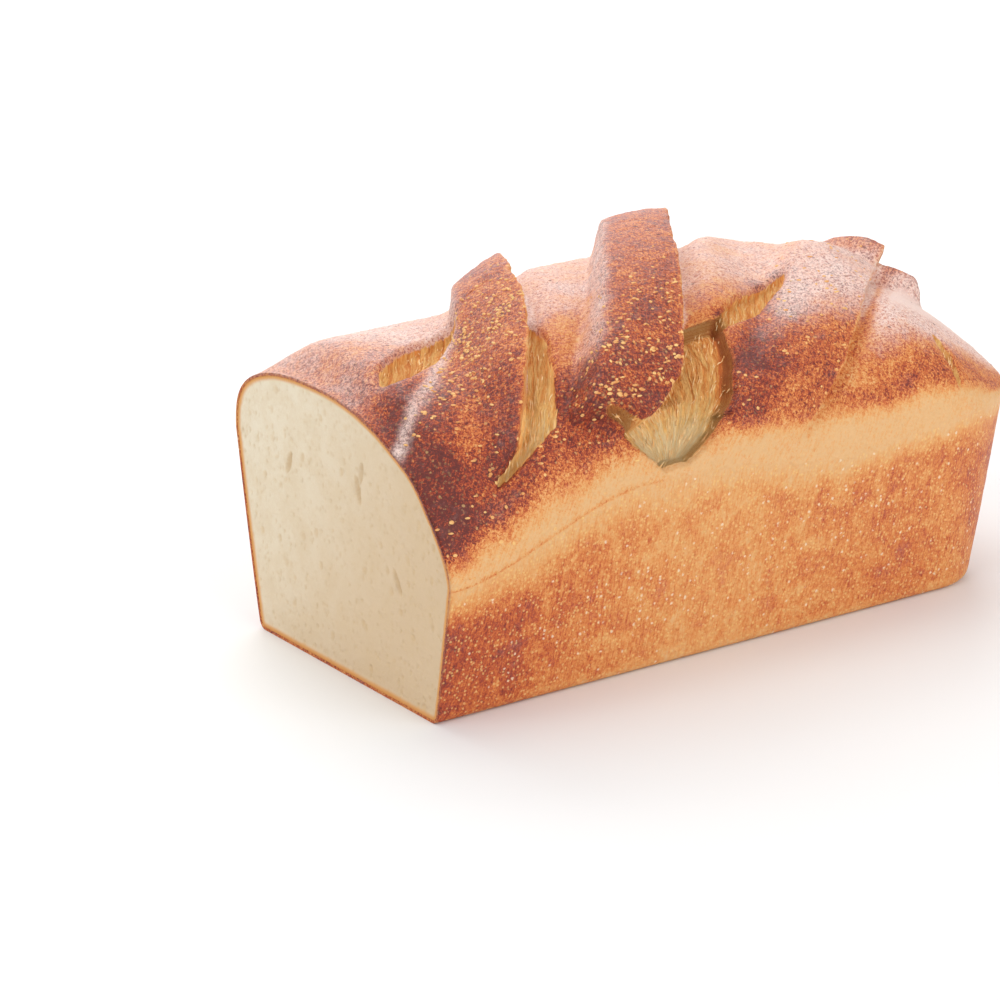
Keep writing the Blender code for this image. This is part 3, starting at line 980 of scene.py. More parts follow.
class GrowingTree:
    """Geometry Nodes tree that turns a source mesh into a plain piece."""

    def __init__(self, name: str, inputs: dict[str, tuple[str, Any]]) -> None:
        """Start the tree.

        Args:
            name: Name of the tree.
            inputs: Socket type and value of each named input.
        """
        self.tree = bpy.data.node_groups.new(name, "GeometryNodeTree")
        self.values = {}
        self.tree.interface.new_socket(name="Source", in_out="INPUT", socket_type="NodeSocketGeometry")
        for key, (kind, value) in inputs.items():
            socket = self.tree.interface.new_socket(name=key, in_out="INPUT", socket_type=kind)
            self.values[socket.identifier] = value
        self.tree.interface.new_socket(name="Piece", in_out="OUTPUT", socket_type="NodeSocketGeometry")
        self.graph = Graph(self.tree)
        entry = self.graph.add("NodeGroupInput")
        self.source = entry.outputs["Source"]
        self.given = {key: entry.outputs[key] for key in inputs}

    def attribute(self, name: str, kind: str = "FLOAT") -> Socket:
        """Named attribute of the source mesh."""
        wanted = {"Name": name}
        return self.graph.out("GeometryNodeInputNamedAttribute", "Attribute", wanted, data_type=kind)

    def end(self, geometry: Socket, material: bpy.types.Material) -> None:
        """Realize what the tree made, give it its material and put it out."""
        real = self.graph.out("GeometryNodeRealizeInstances", "Geometry", {"Geometry": geometry})
        given = {"Geometry": real, "Material": material}
        dressed = self.graph.out("GeometryNodeSetMaterial", "Geometry", given)
        self.graph.feed(self.graph.add("NodeGroupOutput"), "Piece", dressed)

    def grow(self, source: bpy.types.Mesh, name: str) -> bpy.types.Object:
        """Run the tree over a mesh.

        Args:
            source: Mesh that the tree starts from.
            name: Name of the piece.

        Returns:
            The piece as a plain mesh object with no modifier.
        """
        host = bpy.data.objects.new(name, source)
        bpy.context.scene.collection.objects.link(host)
        modifier = host.modifiers.new("grow", "NODES")
        modifier.node_group = self.tree
        for identifier, value in self.values.items():
            modifier[identifier] = value
        evaluated = host.evaluated_get(bpy.context.evaluated_depsgraph_get())
        grown = bpy.data.meshes.new_from_object(evaluated)
        host.modifiers.remove(modifier)
        host.data = grown
        grown.name = name
        return host


def mesh_of(name: str, verts: Array, faces: list, values: dict[str, Array]) -> bpy.types.Mesh:
    """Mesh of the given points and faces.

    Args:
        name: Name of the mesh.
        verts: Points, one a row.
        faces: Tuples of point numbers.
        values: Attributes with a number, or a row of three, for each point.

    Returns:
        The mesh, shaded smooth.
    """
    mesh = bpy.data.meshes.new(name)
    mesh.from_pydata(verts.tolist(), [], faces)
    for key, numbers in values.items():
        kind, slot = ("FLOAT_VECTOR", "vector") if numbers.ndim == 2 else ("FLOAT", "value")
        attribute = mesh.attributes.new(key, kind, "POINT")
        attribute.data.foreach_set(slot, numbers.astype(np.float32).ravel())
    mesh.shade_smooth()
    return mesh


def strips(first: Array, second: Array) -> list[tuple[int, int, int, int]]:
    """Quads between two lines of point numbers of the same length."""
    return list(zip(first[:-1].tolist(), first[1:].tolist(), second[1:].tolist(), second[:-1].tolist()))


def ride(piece: bpy.types.Object) -> None:
    """Fix a piece to the loaf's body in place of its plain solid."""
    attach(piece, "root")
    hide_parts("loaf")
    log.info("%s: %d faces", piece.name, len(piece.data.polygons))


@dataclass(frozen=True)
class Oven:
    """What the oven and the baker's flour did to the skin, place by place, and where a painted sheen stands
    in for the lights' highlights on it.
    """

    front_bake: float = 0.73
    lobe_bake: float = 0.44
    ridge_bakes: tuple[float, float, float] = (0.64, 0.66, 0.56)
    # Painted sheen: the share of it taken off each ridge, and its strength on each ridge's left bank.
    sheenless_ridges: tuple[float, float, float] = (0.90, 0.80, 0.0)
    bank_sheens: tuple[float, float, float] = (0.62, 0.58, 0.22)
    front_arcs: tuple[float, float] = (-0.066, -0.050)
    front_end: tuple[float, float] = (0.088, 0.104)
    behind_arcs: tuple[float, float] = (0.030, 0.060)
    upper_arcs: tuple[float, float] = (-0.040, -0.012)
    right_stations: tuple[float, float] = (0.085, 0.125)
    # Painted shadow along the seam's crease: its darkening, its width and the stations where it ends.
    crease_shadow: float = 0.30
    crease_shadow_width: float = 0.0008
    crease_shadow_end: tuple[float, float] = (0.065, 0.090)
    bank_arcs: tuple[float, float] = (-0.062, -0.044)
    rim_arcs: tuple[float, float] = (-0.056, -0.036)
    rim_width: float = 0.0032
    far_arcs: tuple[float, float] = (-0.060, -0.036)
    beyond_reach: tuple[float, float] = (0.004, 0.014)
    beyond_arcs: tuple[float, float] = (-0.074, -0.034)
    # Painted sheen: where it fades in above the seam, and its strength on the right rims, the far ridge and
    # the lobe beyond it.
    sheen_rise: tuple[float, float] = (0.010, 0.030)
    rim_sheen: float = 1.3
    far_sheen: float = 0.72
    beyond_sheen: float = 1.5
    wall_base: float = 0.41
    far_corner: float = 0.236
    flour_base: float = 0.06
    flour_patches: tuple = (((0.080, 0.026), (0.030, 0.014)), ((0.145, 0.040), (0.034, 0.016)))
    browner: tuple[Oval, ...] = (
        Oval(0.004, -0.064, 0.034, 0.013, 88, 0.30),
        Oval(0.010, -0.044, 0.024, 0.013, 60, 0.26),
        Oval(0.040, -0.047, 0.010, 0.004, 20, 0.20),
        Oval(0.031, -0.065, 0.012, 0.006, 10, 0.22),
        Oval(0.056, -0.062, 0.014, 0.009, 60, 0.20),
        Oval(0.071, -0.070, 0.018, 0.014, 60, 0.10),
        Oval(0.092, -0.046, 0.008, 0.005, 50, 0.20),
        Oval(0.118, -0.074, 0.034, 0.009, 48, 0.30),
        Oval(0.140, -0.054, 0.028, 0.010, 46, 0.26),
        Oval(0.162, -0.036, 0.020, 0.006, 48, 0.20),
        Oval(0.159, -0.021, 0.004, 0.003, 20, 0.40),
        Oval(0.169, -0.0175, 0.003, 0.002, 20, 0.40),
        Oval(0.131, -0.041, 0.008, 0.003, 30, 0.34),
        Oval(0.016, 0.014, 0.050, 0.036, 60, 0.10),
        Oval(0.012, -0.020, 0.022, 0.016, 30, 0.14),
        Oval(0.175, -0.084, 0.004, 0.0014, 80, 0.30),
        Oval(0.196, -0.078, 0.030, 0.009, 10, 0.14),
        Oval(0.226, 0.003, 0.024, 0.0085, 103, 0.36),
    )

    def patches(self, x: Array, arc: Array) -> Array:
        """Extra browning of the patches."""
        return sum(patch.amount * patch.mask(x, arc, 0.9) for patch in self.browner)

    def bake(self, x: Array, arc: Array, plateaus: list[Array], from_seam: Array) -> Array:
        """Browning of the dome, with a painted shadow line along the seam's crease near the cut end.

        Args:
            x: Stations.
            arc: Arcs.
            plateaus: Mask of each ridge.
            from_seam: Distances over the dome from the nearer seam.

        Returns:
            One value for each point, 0 for unbaked dough to 1 for burnt.
        """
        front = (1 - ease(*self.front_arcs, arc)) * (1 - ease(*self.front_end, x))
        behind = ease(*self.behind_arcs, arc)
        bake = self.lobe_bake + (self.front_bake - self.lobe_bake) * front
        bake = bake + 0.10 * behind + self.patches(x, arc)
        for plateau, ridge_bake in zip(plateaus, self.ridge_bakes):
            low = 0.10 * (1 - ease(-0.070, -0.045, arc))
            bake = bake + (ridge_bake + low + 0.5 * self.patches(x, arc) - bake) * plateau
        right = ease(*self.right_stations, x)
        start = 0.001 + 0.005 * right
        rise = 0.018 - 0.007 * right
        # Painted shadow: a thin darker line right at the seam's crease, near the cut end.
        crease_shadow = self.crease_shadow * bell(from_seam, self.crease_shadow_width) * (1 - ease(*self.crease_shadow_end, x))
        return bake * ease(start, start + rise, from_seam) + crease_shadow

    def painted_sheen(self, x: Array, arc: Array, ridges: tuple, plateaus: list[Array], from_seam: Array) -> Array:
        """Painted sheen: a pale highlight on the tops of the lobes, the ridges' left banks and their right
        rims.
        """
        upper = ease(*self.upper_arcs, arc) * (1 - ease(0.035, 0.060, arc))
        upper = upper * (1 - 0.55 * (1 - ease(0.020, 0.050, x + 0.6 * arc)))
        sheen = (0.58 + 0.25 * (1 - ease(0.030, 0.060, x))) * upper
        for plateau, share in zip(plateaus, self.sheenless_ridges):
            sheen = sheen * (1 - share * plateau)
        for ridge, plateau, bank_sheen in zip(ridges, plateaus, self.bank_sheens):
            slope = ridge.bank_width(arc)
            bank = bell(x - ridge.left.at(arc) + 0.45 * slope, 0.60 * slope)
            sheen = np.maximum(sheen, bank_sheen * bank * ridge.reached(arc) * ease(*self.bank_arcs, arc))
            rim = bell(ridge.beside(x, arc) - 1.4 * ridge.lip, self.rim_width) * (1 - plateau)
            rim = rim * ridge.reached(arc) * ease(*self.rim_arcs, arc)
            sheen = np.maximum(sheen, self.rim_sheen * rim)
        sheen = np.maximum(sheen, self.far_sheen * plateaus[-1] * ease(*self.far_arcs, arc))
        beyond = ease(*self.beyond_reach, ridges[-1].beside(x, arc))
        sheen = np.maximum(sheen, self.beyond_sheen * beyond * ease(*self.beyond_arcs, arc))
        sheen = sheen * (1 - 0.90 * self.browner[-1].mask(x, arc, 0.5))
        return sheen * ease(*self.sheen_rise, from_seam)

    def crumb_tone(self, x: Array, arc: Array, slashes: Slashes, in_burst: Array) -> Array:
        """Paleness of the torn crumb: orange high up and cream where it opened last."""
        up = slashes.burst.up(arc)
        tone = 0.30 + in_burst * (0.50 * (1 - ease(0.12, 0.52, up)) - 0.06 * ease(0.85, 1.0, up))
        tone = tone - 0.40 * in_burst * ease(0.72, 0.98, np.abs(slashes.burst.aside(x, arc)))
        low = 1 - ease(-0.068, -0.048, arc)
        return tone + slashes.lens(x, arc) * (0.08 + 0.22 * low) * (1 - in_burst)

    def flakes(self, x: Array, arc: Array, plateaus: list[Array]) -> Array:
        """Share of gold flakes on the ridges and the dark front."""
        near, tongue, far = plateaus
        clusters = 0.80 * near * bell(arc + 0.022, 0.020) + 0.50 * tongue * bell(arc + 0.056, 0.020)
        front = 0.10 * (1 - ease(-0.060, -0.050, arc)) * (1 - ease(0.085, 0.100, x))
        return clusters + front + 0.08 * far * (1 - near)

    def wall_bake(self, x: Array, y: Array, z: Array, below: Array) -> Array:
        """Browning of the tin walls: redder to the cut face and below, paler to the seam and corners."""
        bake = self.wall_base + 0.26 * bell(x - 0.004, 0.038) - 0.14 * bell(x - 0.105, 0.040)
        bake = bake + 0.02 * ease(0.150, 0.205, x)
        bake = bake + 0.10 * ease(0.200, 0.225, x) * bell(z - 0.040, 0.018)
        pale = 1 - ease(0.085, 0.120, x)
        fade = 0.007 + 0.006 * pale
        bake = bake * ease(-0.002 - 0.003 * pale, fade + 0.004, below - 0.001)
        corner = bell(x - self.far_corner, 0.006) * ease(0.02, 0.05, np.abs(y))
        return bake * (1 - 0.25 * corner) - 0.12 * (1 - ease(0.0, 0.006, z))

    def flour(self, x: Array, z: Array, below: Array) -> Array:
        """Share of flour specks on the walls."""
        patch = 0.0
        for (station, height), (length, width) in self.flour_patches:
            patch = patch + bell(x - station, length) * bell(z - height, width)
        return self.flour_base + 0.34 * patch * ease(0.002, 0.010, below)


@dataclass
class Crust:
    """Skin of the whole loaf: slashed dome, tin walls, base, and the rim round the cut face."""

    dome: Dome
    slashes: Slashes
    oven: Oven
    columns: int = 300
    rows: int = 200
    wall_rows: int = 36
    base_cells: int = 90
    curl_rows: int = 4
    end_share: float = 0.34
    edge_pull: float = 3.5
    edge_width: float = 0.0024
    bank_pull: float = 0.6
    tip_arc: float = -0.069
    tip_pull: float = 1.6
    tip_width: float = 0.008
    overhang: float = 0.0011
    thickness: float = 0.0010
    pocket: float = 0.005
    jitter: float = 0.0007
    jitter_size: float = 0.010
    share_steps: int = 1200
    probe_step: float = 1e-4
    still_seam: float = 0.004
    still_end: float = 0.003
    lip_width: float = 0.0022
    tip_lip_width: float = 0.003
    tip_overhang: float = 1.2
    rim_width: float = 0.0013
    side_pull: float = 0.008
    rim_bake: float = 0.46
    pale_rim_and_highlight: float = 0.75

    def stations(self, t: Array) -> Array:
        """Station of a share t of 0 to 1 along the loaf: even, then closing up round the end."""
        last, zone = self.dome.tin.last, self.dome.end_zone
        body = t / (1 - self.end_share) * (last - zone)
        turn = ((t - 1 + self.end_share) / self.end_share).clip(0.0, 1.0) * pi / 2
        rounded = last - zone + zone * np.sin(turn) ** (2.0 / self.dome.end_power)
        return np.where(t < 1 - self.end_share, body, rounded)

    def column_shares(self, arc: float) -> Array:
        """Shares t of one row's columns, closer together at the ridges' edges."""
        t = np.linspace(0.0, 1.0, self.share_steps + 1)
        x = self.stations(t)
        dense = np.ones(t.shape)
        for ridge in self.slashes.ridges:
            reached = ridge.reached(arc, ridge.bow)
            out = ridge.beside(x, arc) - ridge.lip / 2
            dense += reached * self.edge_pull * bell(out, self.edge_width)
            bank = x - ridge.left.at(arc) + ridge.bank_width(arc) / 2
            dense += reached * self.bank_pull * bell(bank, ridge.bank_width(arc))
        total = np.concatenate([[0.0], np.cumsum((dense[1:] + dense[:-1]) / 2)])
        return np.interp(np.linspace(0.0, total[-1], self.columns + 1), total, t)

    def row_arcs(self) -> tuple[Array, Array]:
        """Arcs of the rows, closer together at the tongue's tip, and the share b of each."""
        shares, arcs = self.dome.arcs()
        dense = 1.0 + self.tip_pull * bell(arcs - self.tip_arc, self.tip_width)
        total = np.concatenate([[0.0], np.cumsum(np.diff(arcs) * (dense[1:] + dense[:-1]) / 2)])
        wanted = np.linspace(0.0, total[-1], self.rows + 1)
        return np.interp(wanted, total, arcs), np.interp(wanted, total, shares)

    def levels(self) -> Array:
        """Levels of the wall's rows: a few round the base's edge, then closer to the seam."""
        curl = self.dome.tin.curl
        up = np.linspace(0.0, 1.0, self.wall_rows - self.curl_rows + 1)[1:]
        wall = curl + (1 - curl) * (1 - (1 - up) ** 1.25)
        return np.concatenate([np.linspace(0.0, curl, self.curl_rows + 1), wall])

    def plain_top(self, x: Array, b: Array) -> Array:
        """Points of the plain dome."""
        return self.dome.point(x, b, np.ones(x.shape), np.ones(x.shape, bool))

    def shape_top(self, x: Array, b: Array, arc: Array) -> tuple[Array, dict[str, Array]]:
        """Place the dome's points and say how each is finished.

        Args:
            x: Stations.
            b: Shares across.
            arc: Arcs.

        Returns:
            The points, and the attributes by name.
        """
        flat = np.stack([x, arc], -1)
        x_torn = x + self.jitter * wander(flat, self.jitter_size)
        arc_torn = arc + self.jitter * wander(flat, self.jitter_size, shift=7.3)
        place = self.plain_top(x, b)
        step = self.probe_step
        along = unit(self.plain_top(x + step, b) - self.plain_top(x - step, b))
        over = unit(self.plain_top(x, b + step) - self.plain_top(x, b - step))
        normal = unit(np.cross(along, over))
        from_seam = np.minimum(arc - arc.min(), arc.max() - arc)
        from_end = self.dome.tin.last - x
        calm = ease(0.0, self.still_seam, from_seam) * ease(0.0, self.still_end, from_end)
        calm = calm * ease(0.0, self.still_seam, x)
        relief = self.slashes.relief(x_torn, arc_torn) * np.where(x < 0.002, 1.0, calm)
        place = place + normal * relief[:, None]
        sideways = np.zeros(x.shape)
        for ridge in self.slashes.ridges:
            rim = bell(ridge.beside(x_torn, arc_torn) - ridge.lip / 2, self.lip_width)
            sideways += (ridge.plateau(x_torn, arc_torn) * 2 - 1) * rim * ridge.reached(arc_torn)
        place = place + along * (self.overhang * sideways * calm)[:, None]
        tongue = self.slashes.tongue
        width = tongue.width_share(x_torn, arc_torn)
        inside = ease(0.0, 0.15, width) * (1 - ease(0.85, 1.0, width))
        tip = tongue.reach[0] - tongue.tip(width)
        folded = (tongue.plateau(x_torn, arc_torn) * 2 - 1) * bell(arc_torn - tip, self.tip_lip_width)
        place = place - over * (self.overhang * self.tip_overhang * folded * inside)[:, None]
        finish = self.finish_top(x_torn, arc_torn, from_seam, (along, over))
        return place, finish

    def finish_top(
        self, x: Array, arc: Array, from_seam: Array, directions: tuple[Array, Array]
    ) -> dict[str, Array]:
        """How far each point of the dome is browned, given painted sheen, flaked and torn.

        Args:
            x: Stations.
            arc: Arcs.
            from_seam: Distances over the dome from the nearer seam.
            directions: Unit vectors along the loaf and over it at each point.

        Returns:
            The attributes by name.
        """
        slashes, oven = self.slashes, self.oven
        plateaus = [ridge.plateau(x, arc) for ridge in slashes.ridges]
        bake = oven.bake(x, arc, plateaus, from_seam)
        # Painted sheen: where a pale highlight is painted into the crust's colour.
        painted_sheen = oven.painted_sheen(x, arc, slashes.ridges, plateaus, from_seam)
        # Paler at the ridges' right rims: partly the pale torn side of the slash, partly a painted highlight
        # along the edge.
        rims = np.zeros(x.shape)
        for ridge in slashes.ridges:
            rims += bell(ridge.beside(x, arc) - 0.6 * ridge.lip, self.rim_width) * ridge.reached(arc)
        bake = bake * (1 - self.pale_rim_and_highlight * rims.clip(0.0, 1.0))
        in_burst = slashes.below_tongue(x, arc)
        across = x - slashes.lean * arc
        fan = slashes.burst.aside(x, arc) * slashes.burst.half_width
        grain = np.stack([across + (fan - across) * in_burst, arc, np.zeros(x.shape)], -1)
        from_tip = np.stack([x, arc], -1) - slashes.burst.tip
        lay = from_tip * in_burst[:, None] + np.array([slashes.lean, 1.0]) * self.side_pull
        pull = directions[0] * lay[:, :1] + directions[1] * lay[:, 1:]
        return {
            "bake": bake.clip(0.0, 1.0),
            "painted_sheen": painted_sheen.clip(0.0, 1.6),
            "torn": slashes.torn(x, arc),
            "wall": np.zeros(x.shape),
            "tone": oven.crumb_tone(x, arc, slashes, in_burst),
            "specks": oven.flakes(x, arc, plateaus),
            "grain": grain,
            "pull": unit(pull),
            "skin": ease(0.0, 0.003, x),
        }

    def finish_wall(self, places: Array, below: Array) -> dict[str, Array]:
        """How far each point of the tin walls is browned.

        Args:
            places: The wall's points.
            below: Distances below the seam.

        Returns:
            The attributes by name.
        """
        x, y, z = places.T
        nothing = np.zeros(x.shape)
        return {
            "bake": self.oven.wall_bake(x, y, z, below).clip(0.0, 1.0),
            "painted_sheen": nothing,
            "torn": nothing,
            "wall": np.ones(x.shape),
            "tone": nothing + 0.5,
            "specks": self.oven.flour(x, z, below),
            "grain": np.stack([x + y, z, nothing], -1),
            "pull": np.tile([0.0, 0.0, 1.0], (len(x), 1)),
            "skin": ease(0.0, 0.003, x) * ease(0.0, 0.003, z),
        }

    def build(self, shift: Array) -> tuple[bpy.types.Mesh, Array]:
        """Build the skin.

        Args:
            shift: Way from the tin's frame to the part's.

        Returns:
            The mesh, and the outline of the crumb inside the rim as points on the cut plane.
        """
        nx, ny, nz = self.columns, self.rows, self.wall_rows
        arcs, shares = self.row_arcs()
        t_rows = np.array([self.column_shares(arc) for arc in arcs])
        x_top = self.stations(t_rows)
        arc_top = np.repeat(arcs[:, None], nx + 1, 1)
        b_top = np.repeat(shares[:, None], nx + 1, 1)
        top, finish = self.shape_top(x_top.ravel(), b_top.ravel(), arc_top.ravel())
        levels = self.levels()
        verts, values = [top], [finish]
        top_ids = np.arange(top.shape[0]).reshape(ny + 1, nx + 1)
        count = top.shape[0]

        def add_wall(x: Array, b: Array) -> Array:
            """Add a wall of points below one edge of the dome and give their numbers."""
            nonlocal count
            level = np.repeat(levels[:-1, None], x.shape[0], 1)
            x_low = np.stack([self.dome.station_of_cut(b, level[k]) for k in range(nz)])
            station = x_low + x[None] / self.dome.tin.last * (self.dome.tin.last - x_low)
            side = np.repeat(b[None], nz, 0)
            flat = (station.ravel(), side.ravel(), level.ravel(), np.zeros(side.size, bool))
            places = self.dome.point(*flat)
            seam = self.dome.seam_height(flat[0], self.dome.across(flat[1])[0])
            verts.append(places)
            values.append(self.finish_wall(places, seam - places[:, 2]))
            ids = np.arange(count, count + places.shape[0]).reshape(nz, x.shape[0])
            count += places.shape[0]
            return ids

        front = np.concatenate([add_wall(x_top[0], np.full(nx + 1, -1.0)), top_ids[:1]])
        back = np.concatenate([add_wall(x_top[-1], np.full(nx + 1, 1.0)), top_ids[-1:]])
        end_inner = add_wall(np.full(ny - 1, self.dome.tin.last), shares[1:-1])
        end = np.concatenate([end_inner, top_ids[1:-1, -1][None]])
        end = np.concatenate([front[:, -1:], end, back[:, -1:]], axis=1)
        faces = []
        for j in range(ny):
            faces += strips(top_ids[j], top_ids[j + 1])
        for k in range(nz):
            faces += strips(front[k], front[k + 1])
            faces += strips(back[k + 1], back[k])
            faces += strips(end[k], end[k + 1])
        places = np.concatenate(verts)
        outer_ids = np.concatenate([front[:, 0], top_ids[1:-1, 0], back[::-1, 0]])
        places[outer_ids, 0] = 0.0
        base_y = np.linspace(places[back[0, 0], 1], places[front[0, 0], 1], self.base_cells + 1)[1:-1]
        base = np.stack([np.zeros(base_y.shape), base_y, np.zeros(base_y.shape)], -1)
        base_ids = np.arange(count, count + len(base))
        count += len(base)
        loop_ids = np.concatenate([outer_ids, base_ids])
        places = np.concatenate([places, base])
        outer = places[loop_ids]
        inner = self.inset(outer, self.thickness)
        deep = inner + [self.pocket, 0.0, 0.0]
        inner_ids = np.arange(count, count + len(inner))
        deep_ids = inner_ids + len(inner)
        places = np.concatenate([places, inner, deep]) + shift
        for first, second in ((loop_ids, inner_ids), (inner_ids, deep_ids)):
            faces += strips(np.append(second, second[0]), np.append(first, first[0]))
        faces.append(tuple(deep_ids[::-1].tolist()))
        under = np.concatenate([front[0], end[0, 1:], back[0, -2::-1], base_ids])
        faces.append(tuple(under[::-1].tolist()))
        merged = {key: np.concatenate([part[key] for part in values]) for key in finish}
        extra = len(base) + 2 * len(inner)
        rim = {"bake": self.rim_bake, "tone": 0.5}
        for key in merged:
            shape = (extra, 3) if merged[key].ndim == 2 else (extra,)
            merged[key] = np.concatenate([merged[key], np.full(shape, rim.get(key, 0.0))])
        return mesh_of("crust", places, faces, merged), inner + shift

    def inset(self, loop: Array, depth: float) -> Array:
        """Move a closed outline on the cut plane inwards by a depth."""
        ahead = np.roll(loop, -1, axis=0) - np.roll(loop, 1, axis=0)
        inward = unit(np.stack([np.zeros(len(loop)), -ahead[:, 2], ahead[:, 1]], -1))
        middle = loop.mean(axis=0)
        if np.sum(inward * (middle - loop)) < 0:
            inward = -inward
        return loop + inward * depth

    def dress(self, mesh: bpy.types.Mesh, material: bpy.types.Material) -> bpy.types.Object:
        """Raise the fine relief of the skin over the form and give it its finish.

        Args:
            mesh: The skin's form.
            material: The crust's finish.

        Returns:
            The finished piece.
        """
        tree = GrowingTree(
            "skin relief",
            {
                "Blister Size": ("NodeSocketFloat", 0.0042),
                "Blister Height": ("NodeSocketFloat", 0.0007),
                "Grain Size": ("NodeSocketFloat", 0.0019),
                "Grain Height": ("NodeSocketFloat", 0.00045),
                "Strand Height": ("NodeSocketFloat", 0.0016),
            },
        )
        graph, given = tree.graph, tree.given
        places = graph.out("GeometryNodeInputPosition", "Position")
        torn, wall, skin = (tree.attribute(name) for name in ("torn", "wall", "skin"))
        grain = tree.attribute("grain", "FLOAT_VECTOR")

        def swell(source: Any, size: Any, height: Any, detail: float) -> Socket:
            """Noise of one size, times its height."""
            rise = graph.noise(source, graph.math("DIVIDE", 1.0, size), detail, 0.5)
            return graph.math("MULTIPLY", graph.centred(rise), height)

        bubbles = swell(places, given["Blister Size"], given["Blister Height"], 2.0)
        fine = swell(places, given["Grain Size"], given["Grain Height"], 1.0)
        strands = graph.stretch(grain, (1.0, 0.12, 1.0))
        drawn = swell(strands, given["Grain Size"], given["Strand Height"], 2.0)
        crusty = graph.math("SUBTRACT", 1.0, graph.math("MULTIPLY", wall, 0.72))
        rise = graph.math("MULTIPLY", graph.math("ADD", bubbles, fine), crusty)
        drawn = graph.math("MULTIPLY", drawn, graph.math("MULTIPLY_ADD", torn, 0.85, 0.15))
        rise = graph.math("MULTIPLY", graph.math("ADD", rise, drawn), skin)
        normal = graph.out("GeometryNodeInputNormal", "Normal")
        offset = graph.vector("SCALE", normal, scale=rise)
        tree.end(graph.shifted(tree.source, offset), material)
        return tree.grow(mesh, "crust")


@dataclass(frozen=True)
class GoldFlakes:
    """Flat gold blisters that stand proud of the ridges' skin."""

    finish: PlainFinish = PlainFinish("gold_blister", linear(242, 200, 128), linear(214, 138, 70), 0.55)
    radius: float = 0.0005
    sizes: tuple[tuple, tuple] = ((0.7, 0.6, 0.35), (2.2, 1.5, 0.7))
    count_to_area: float = 170000.0
    seed: int = 7

    def grow(self, skin: bpy.types.Mesh) -> bpy.types.Object:
        """Strew the flakes over the finished skin, thickest where its specks are."""
        tree = GrowingTree("gold flakes", {"Density": ("NodeSocketFloat", self.count_to_area)})
        graph, given = tree.graph, tree.given
        bare = graph.math("MAXIMUM", tree.attribute("wall"), tree.attribute("torn"))
        skin_only = graph.math("SUBTRACT", 1.0, bare)
        density = graph.math("MULTIPLY", tree.attribute("specks"), given["Density"])
        density = graph.math("MULTIPLY", density, skin_only)
        clusters = graph.noise(graph.out("GeometryNodeInputPosition", "Position"), 170.0, 2.0)
        density = graph.math("MULTIPLY", density, graph.ease(clusters, 0.46, 0.60, 0.15, 3.2))
        strewn = graph.strewn(tree.source, density, self.seed)
        shape = graph.out("GeometryNodeMeshIcoSphere", "Mesh", {"Radius": self.radius, "Subdivisions": 1})
        values = {
            "Points": strewn.outputs["Points"],
            "Instance": shape,
            "Rotation": strewn.outputs["Rotation"],
            "Scale": graph.chance(*self.sizes, self.seed),
        }
        tree.end(graph.out("GeometryNodeInstanceOnPoints", "Instances", values), self.finish.material())
        return tree.grow(skin, "gold_flakes")


@dataclass(frozen=True)
class TornStrands:
    """Fibres of crumb that were drawn out and torn where the dough opened."""

    finish: PlainFinish = PlainFinish("torn_strand", linear(252, 222, 168), linear(236, 172, 98), 0.8)
    radius: float = 0.00014
    half_length: float = 0.0020
    sizes: tuple[tuple, tuple] = ((0.6, 0.6, 0.5), (1.6, 1.6, 1.5))
    tilt: float = 0.22
    count_to_area: float = 150000.0
    bend_size: float = 0.0050
    bend: float = 0.0008
    seed: int = 11

    def spindle(self, graph: Graph) -> Socket:
        """One fibre along its Z axis, thin at both ends."""
        tube = {"Vertices": 5, "Side Segments": 6, "Radius": self.radius, "Depth": 2 * self.half_length}
        tube = graph.out("GeometryNodeMeshCylinder", "Mesh", tube)
        places = graph.out("GeometryNodeInputPosition", "Position")
        up = graph.out("ShaderNodeSeparateXYZ", "Z", {"Vector": places})
        off = graph.math("DIVIDE", up, self.half_length)
        thin = graph.math("SUBTRACT", 1.0, graph.math("MULTIPLY", graph.math("MULTIPLY", off, off), 0.8))
        factors = graph.out("ShaderNodeCombineXYZ", "Vector", {"X": thin, "Y": thin, "Z": 1.0})
        moved = graph.vector("MULTIPLY", places, factors)
        return graph.out("GeometryNodeSetPosition", "Geometry", {"Geometry": tube, "Position": moved})

    def grow(self, skin: bpy.types.Mesh) -> bpy.types.Object:
        """Lay the fibres along the pull of the torn crumb."""
        tree = GrowingTree("torn strands", {"Density": ("NodeSocketFloat", self.count_to_area)})
        graph, given = tree.graph, tree.given
        bare = graph.ease(tree.attribute("torn"), 0.75, 1.0)
        density = graph.math("MULTIPLY", bare, given["Density"])
        strewn = graph.strewn(tree.source, density, self.seed)
        tilt = graph.chance((-self.tilt,) * 3, (self.tilt,) * 3, self.seed)
        pull = graph.vector("ADD", tree.attribute("pull", "FLOAT_VECTOR"), tilt)
        turned = graph.out("FunctionNodeAlignRotationToVector", "Rotation", {"Vector": pull}, axis="Z")
        values = {
            "Points": strewn.outputs["Points"],
            "Instance": self.spindle(graph),
            "Rotation": turned,
            "Scale": graph.chance(*self.sizes, self.seed + 1),
        }
        laid = graph.out("GeometryNodeInstanceOnPoints", "Instances", values)
        real = graph.out("GeometryNodeRealizeInstances", "Geometry", {"Geometry": laid})
        places = graph.out("GeometryNodeInputPosition", "Position")
        waves = {"Vector": places, "Scale": 1.0 / self.bend_size, "Detail": 1.0}
        waves = graph.out("ShaderNodeTexNoise", "Color", waves)
        waves = graph.vector("SUBTRACT", waves, (0.5, 0.5, 0.5))
        bent = graph.shifted(real, graph.vector("SCALE", waves, scale=2 * self.bend))
        tree.end(bent, self.finish.material())
        return tree.grow(skin, "torn_strands")


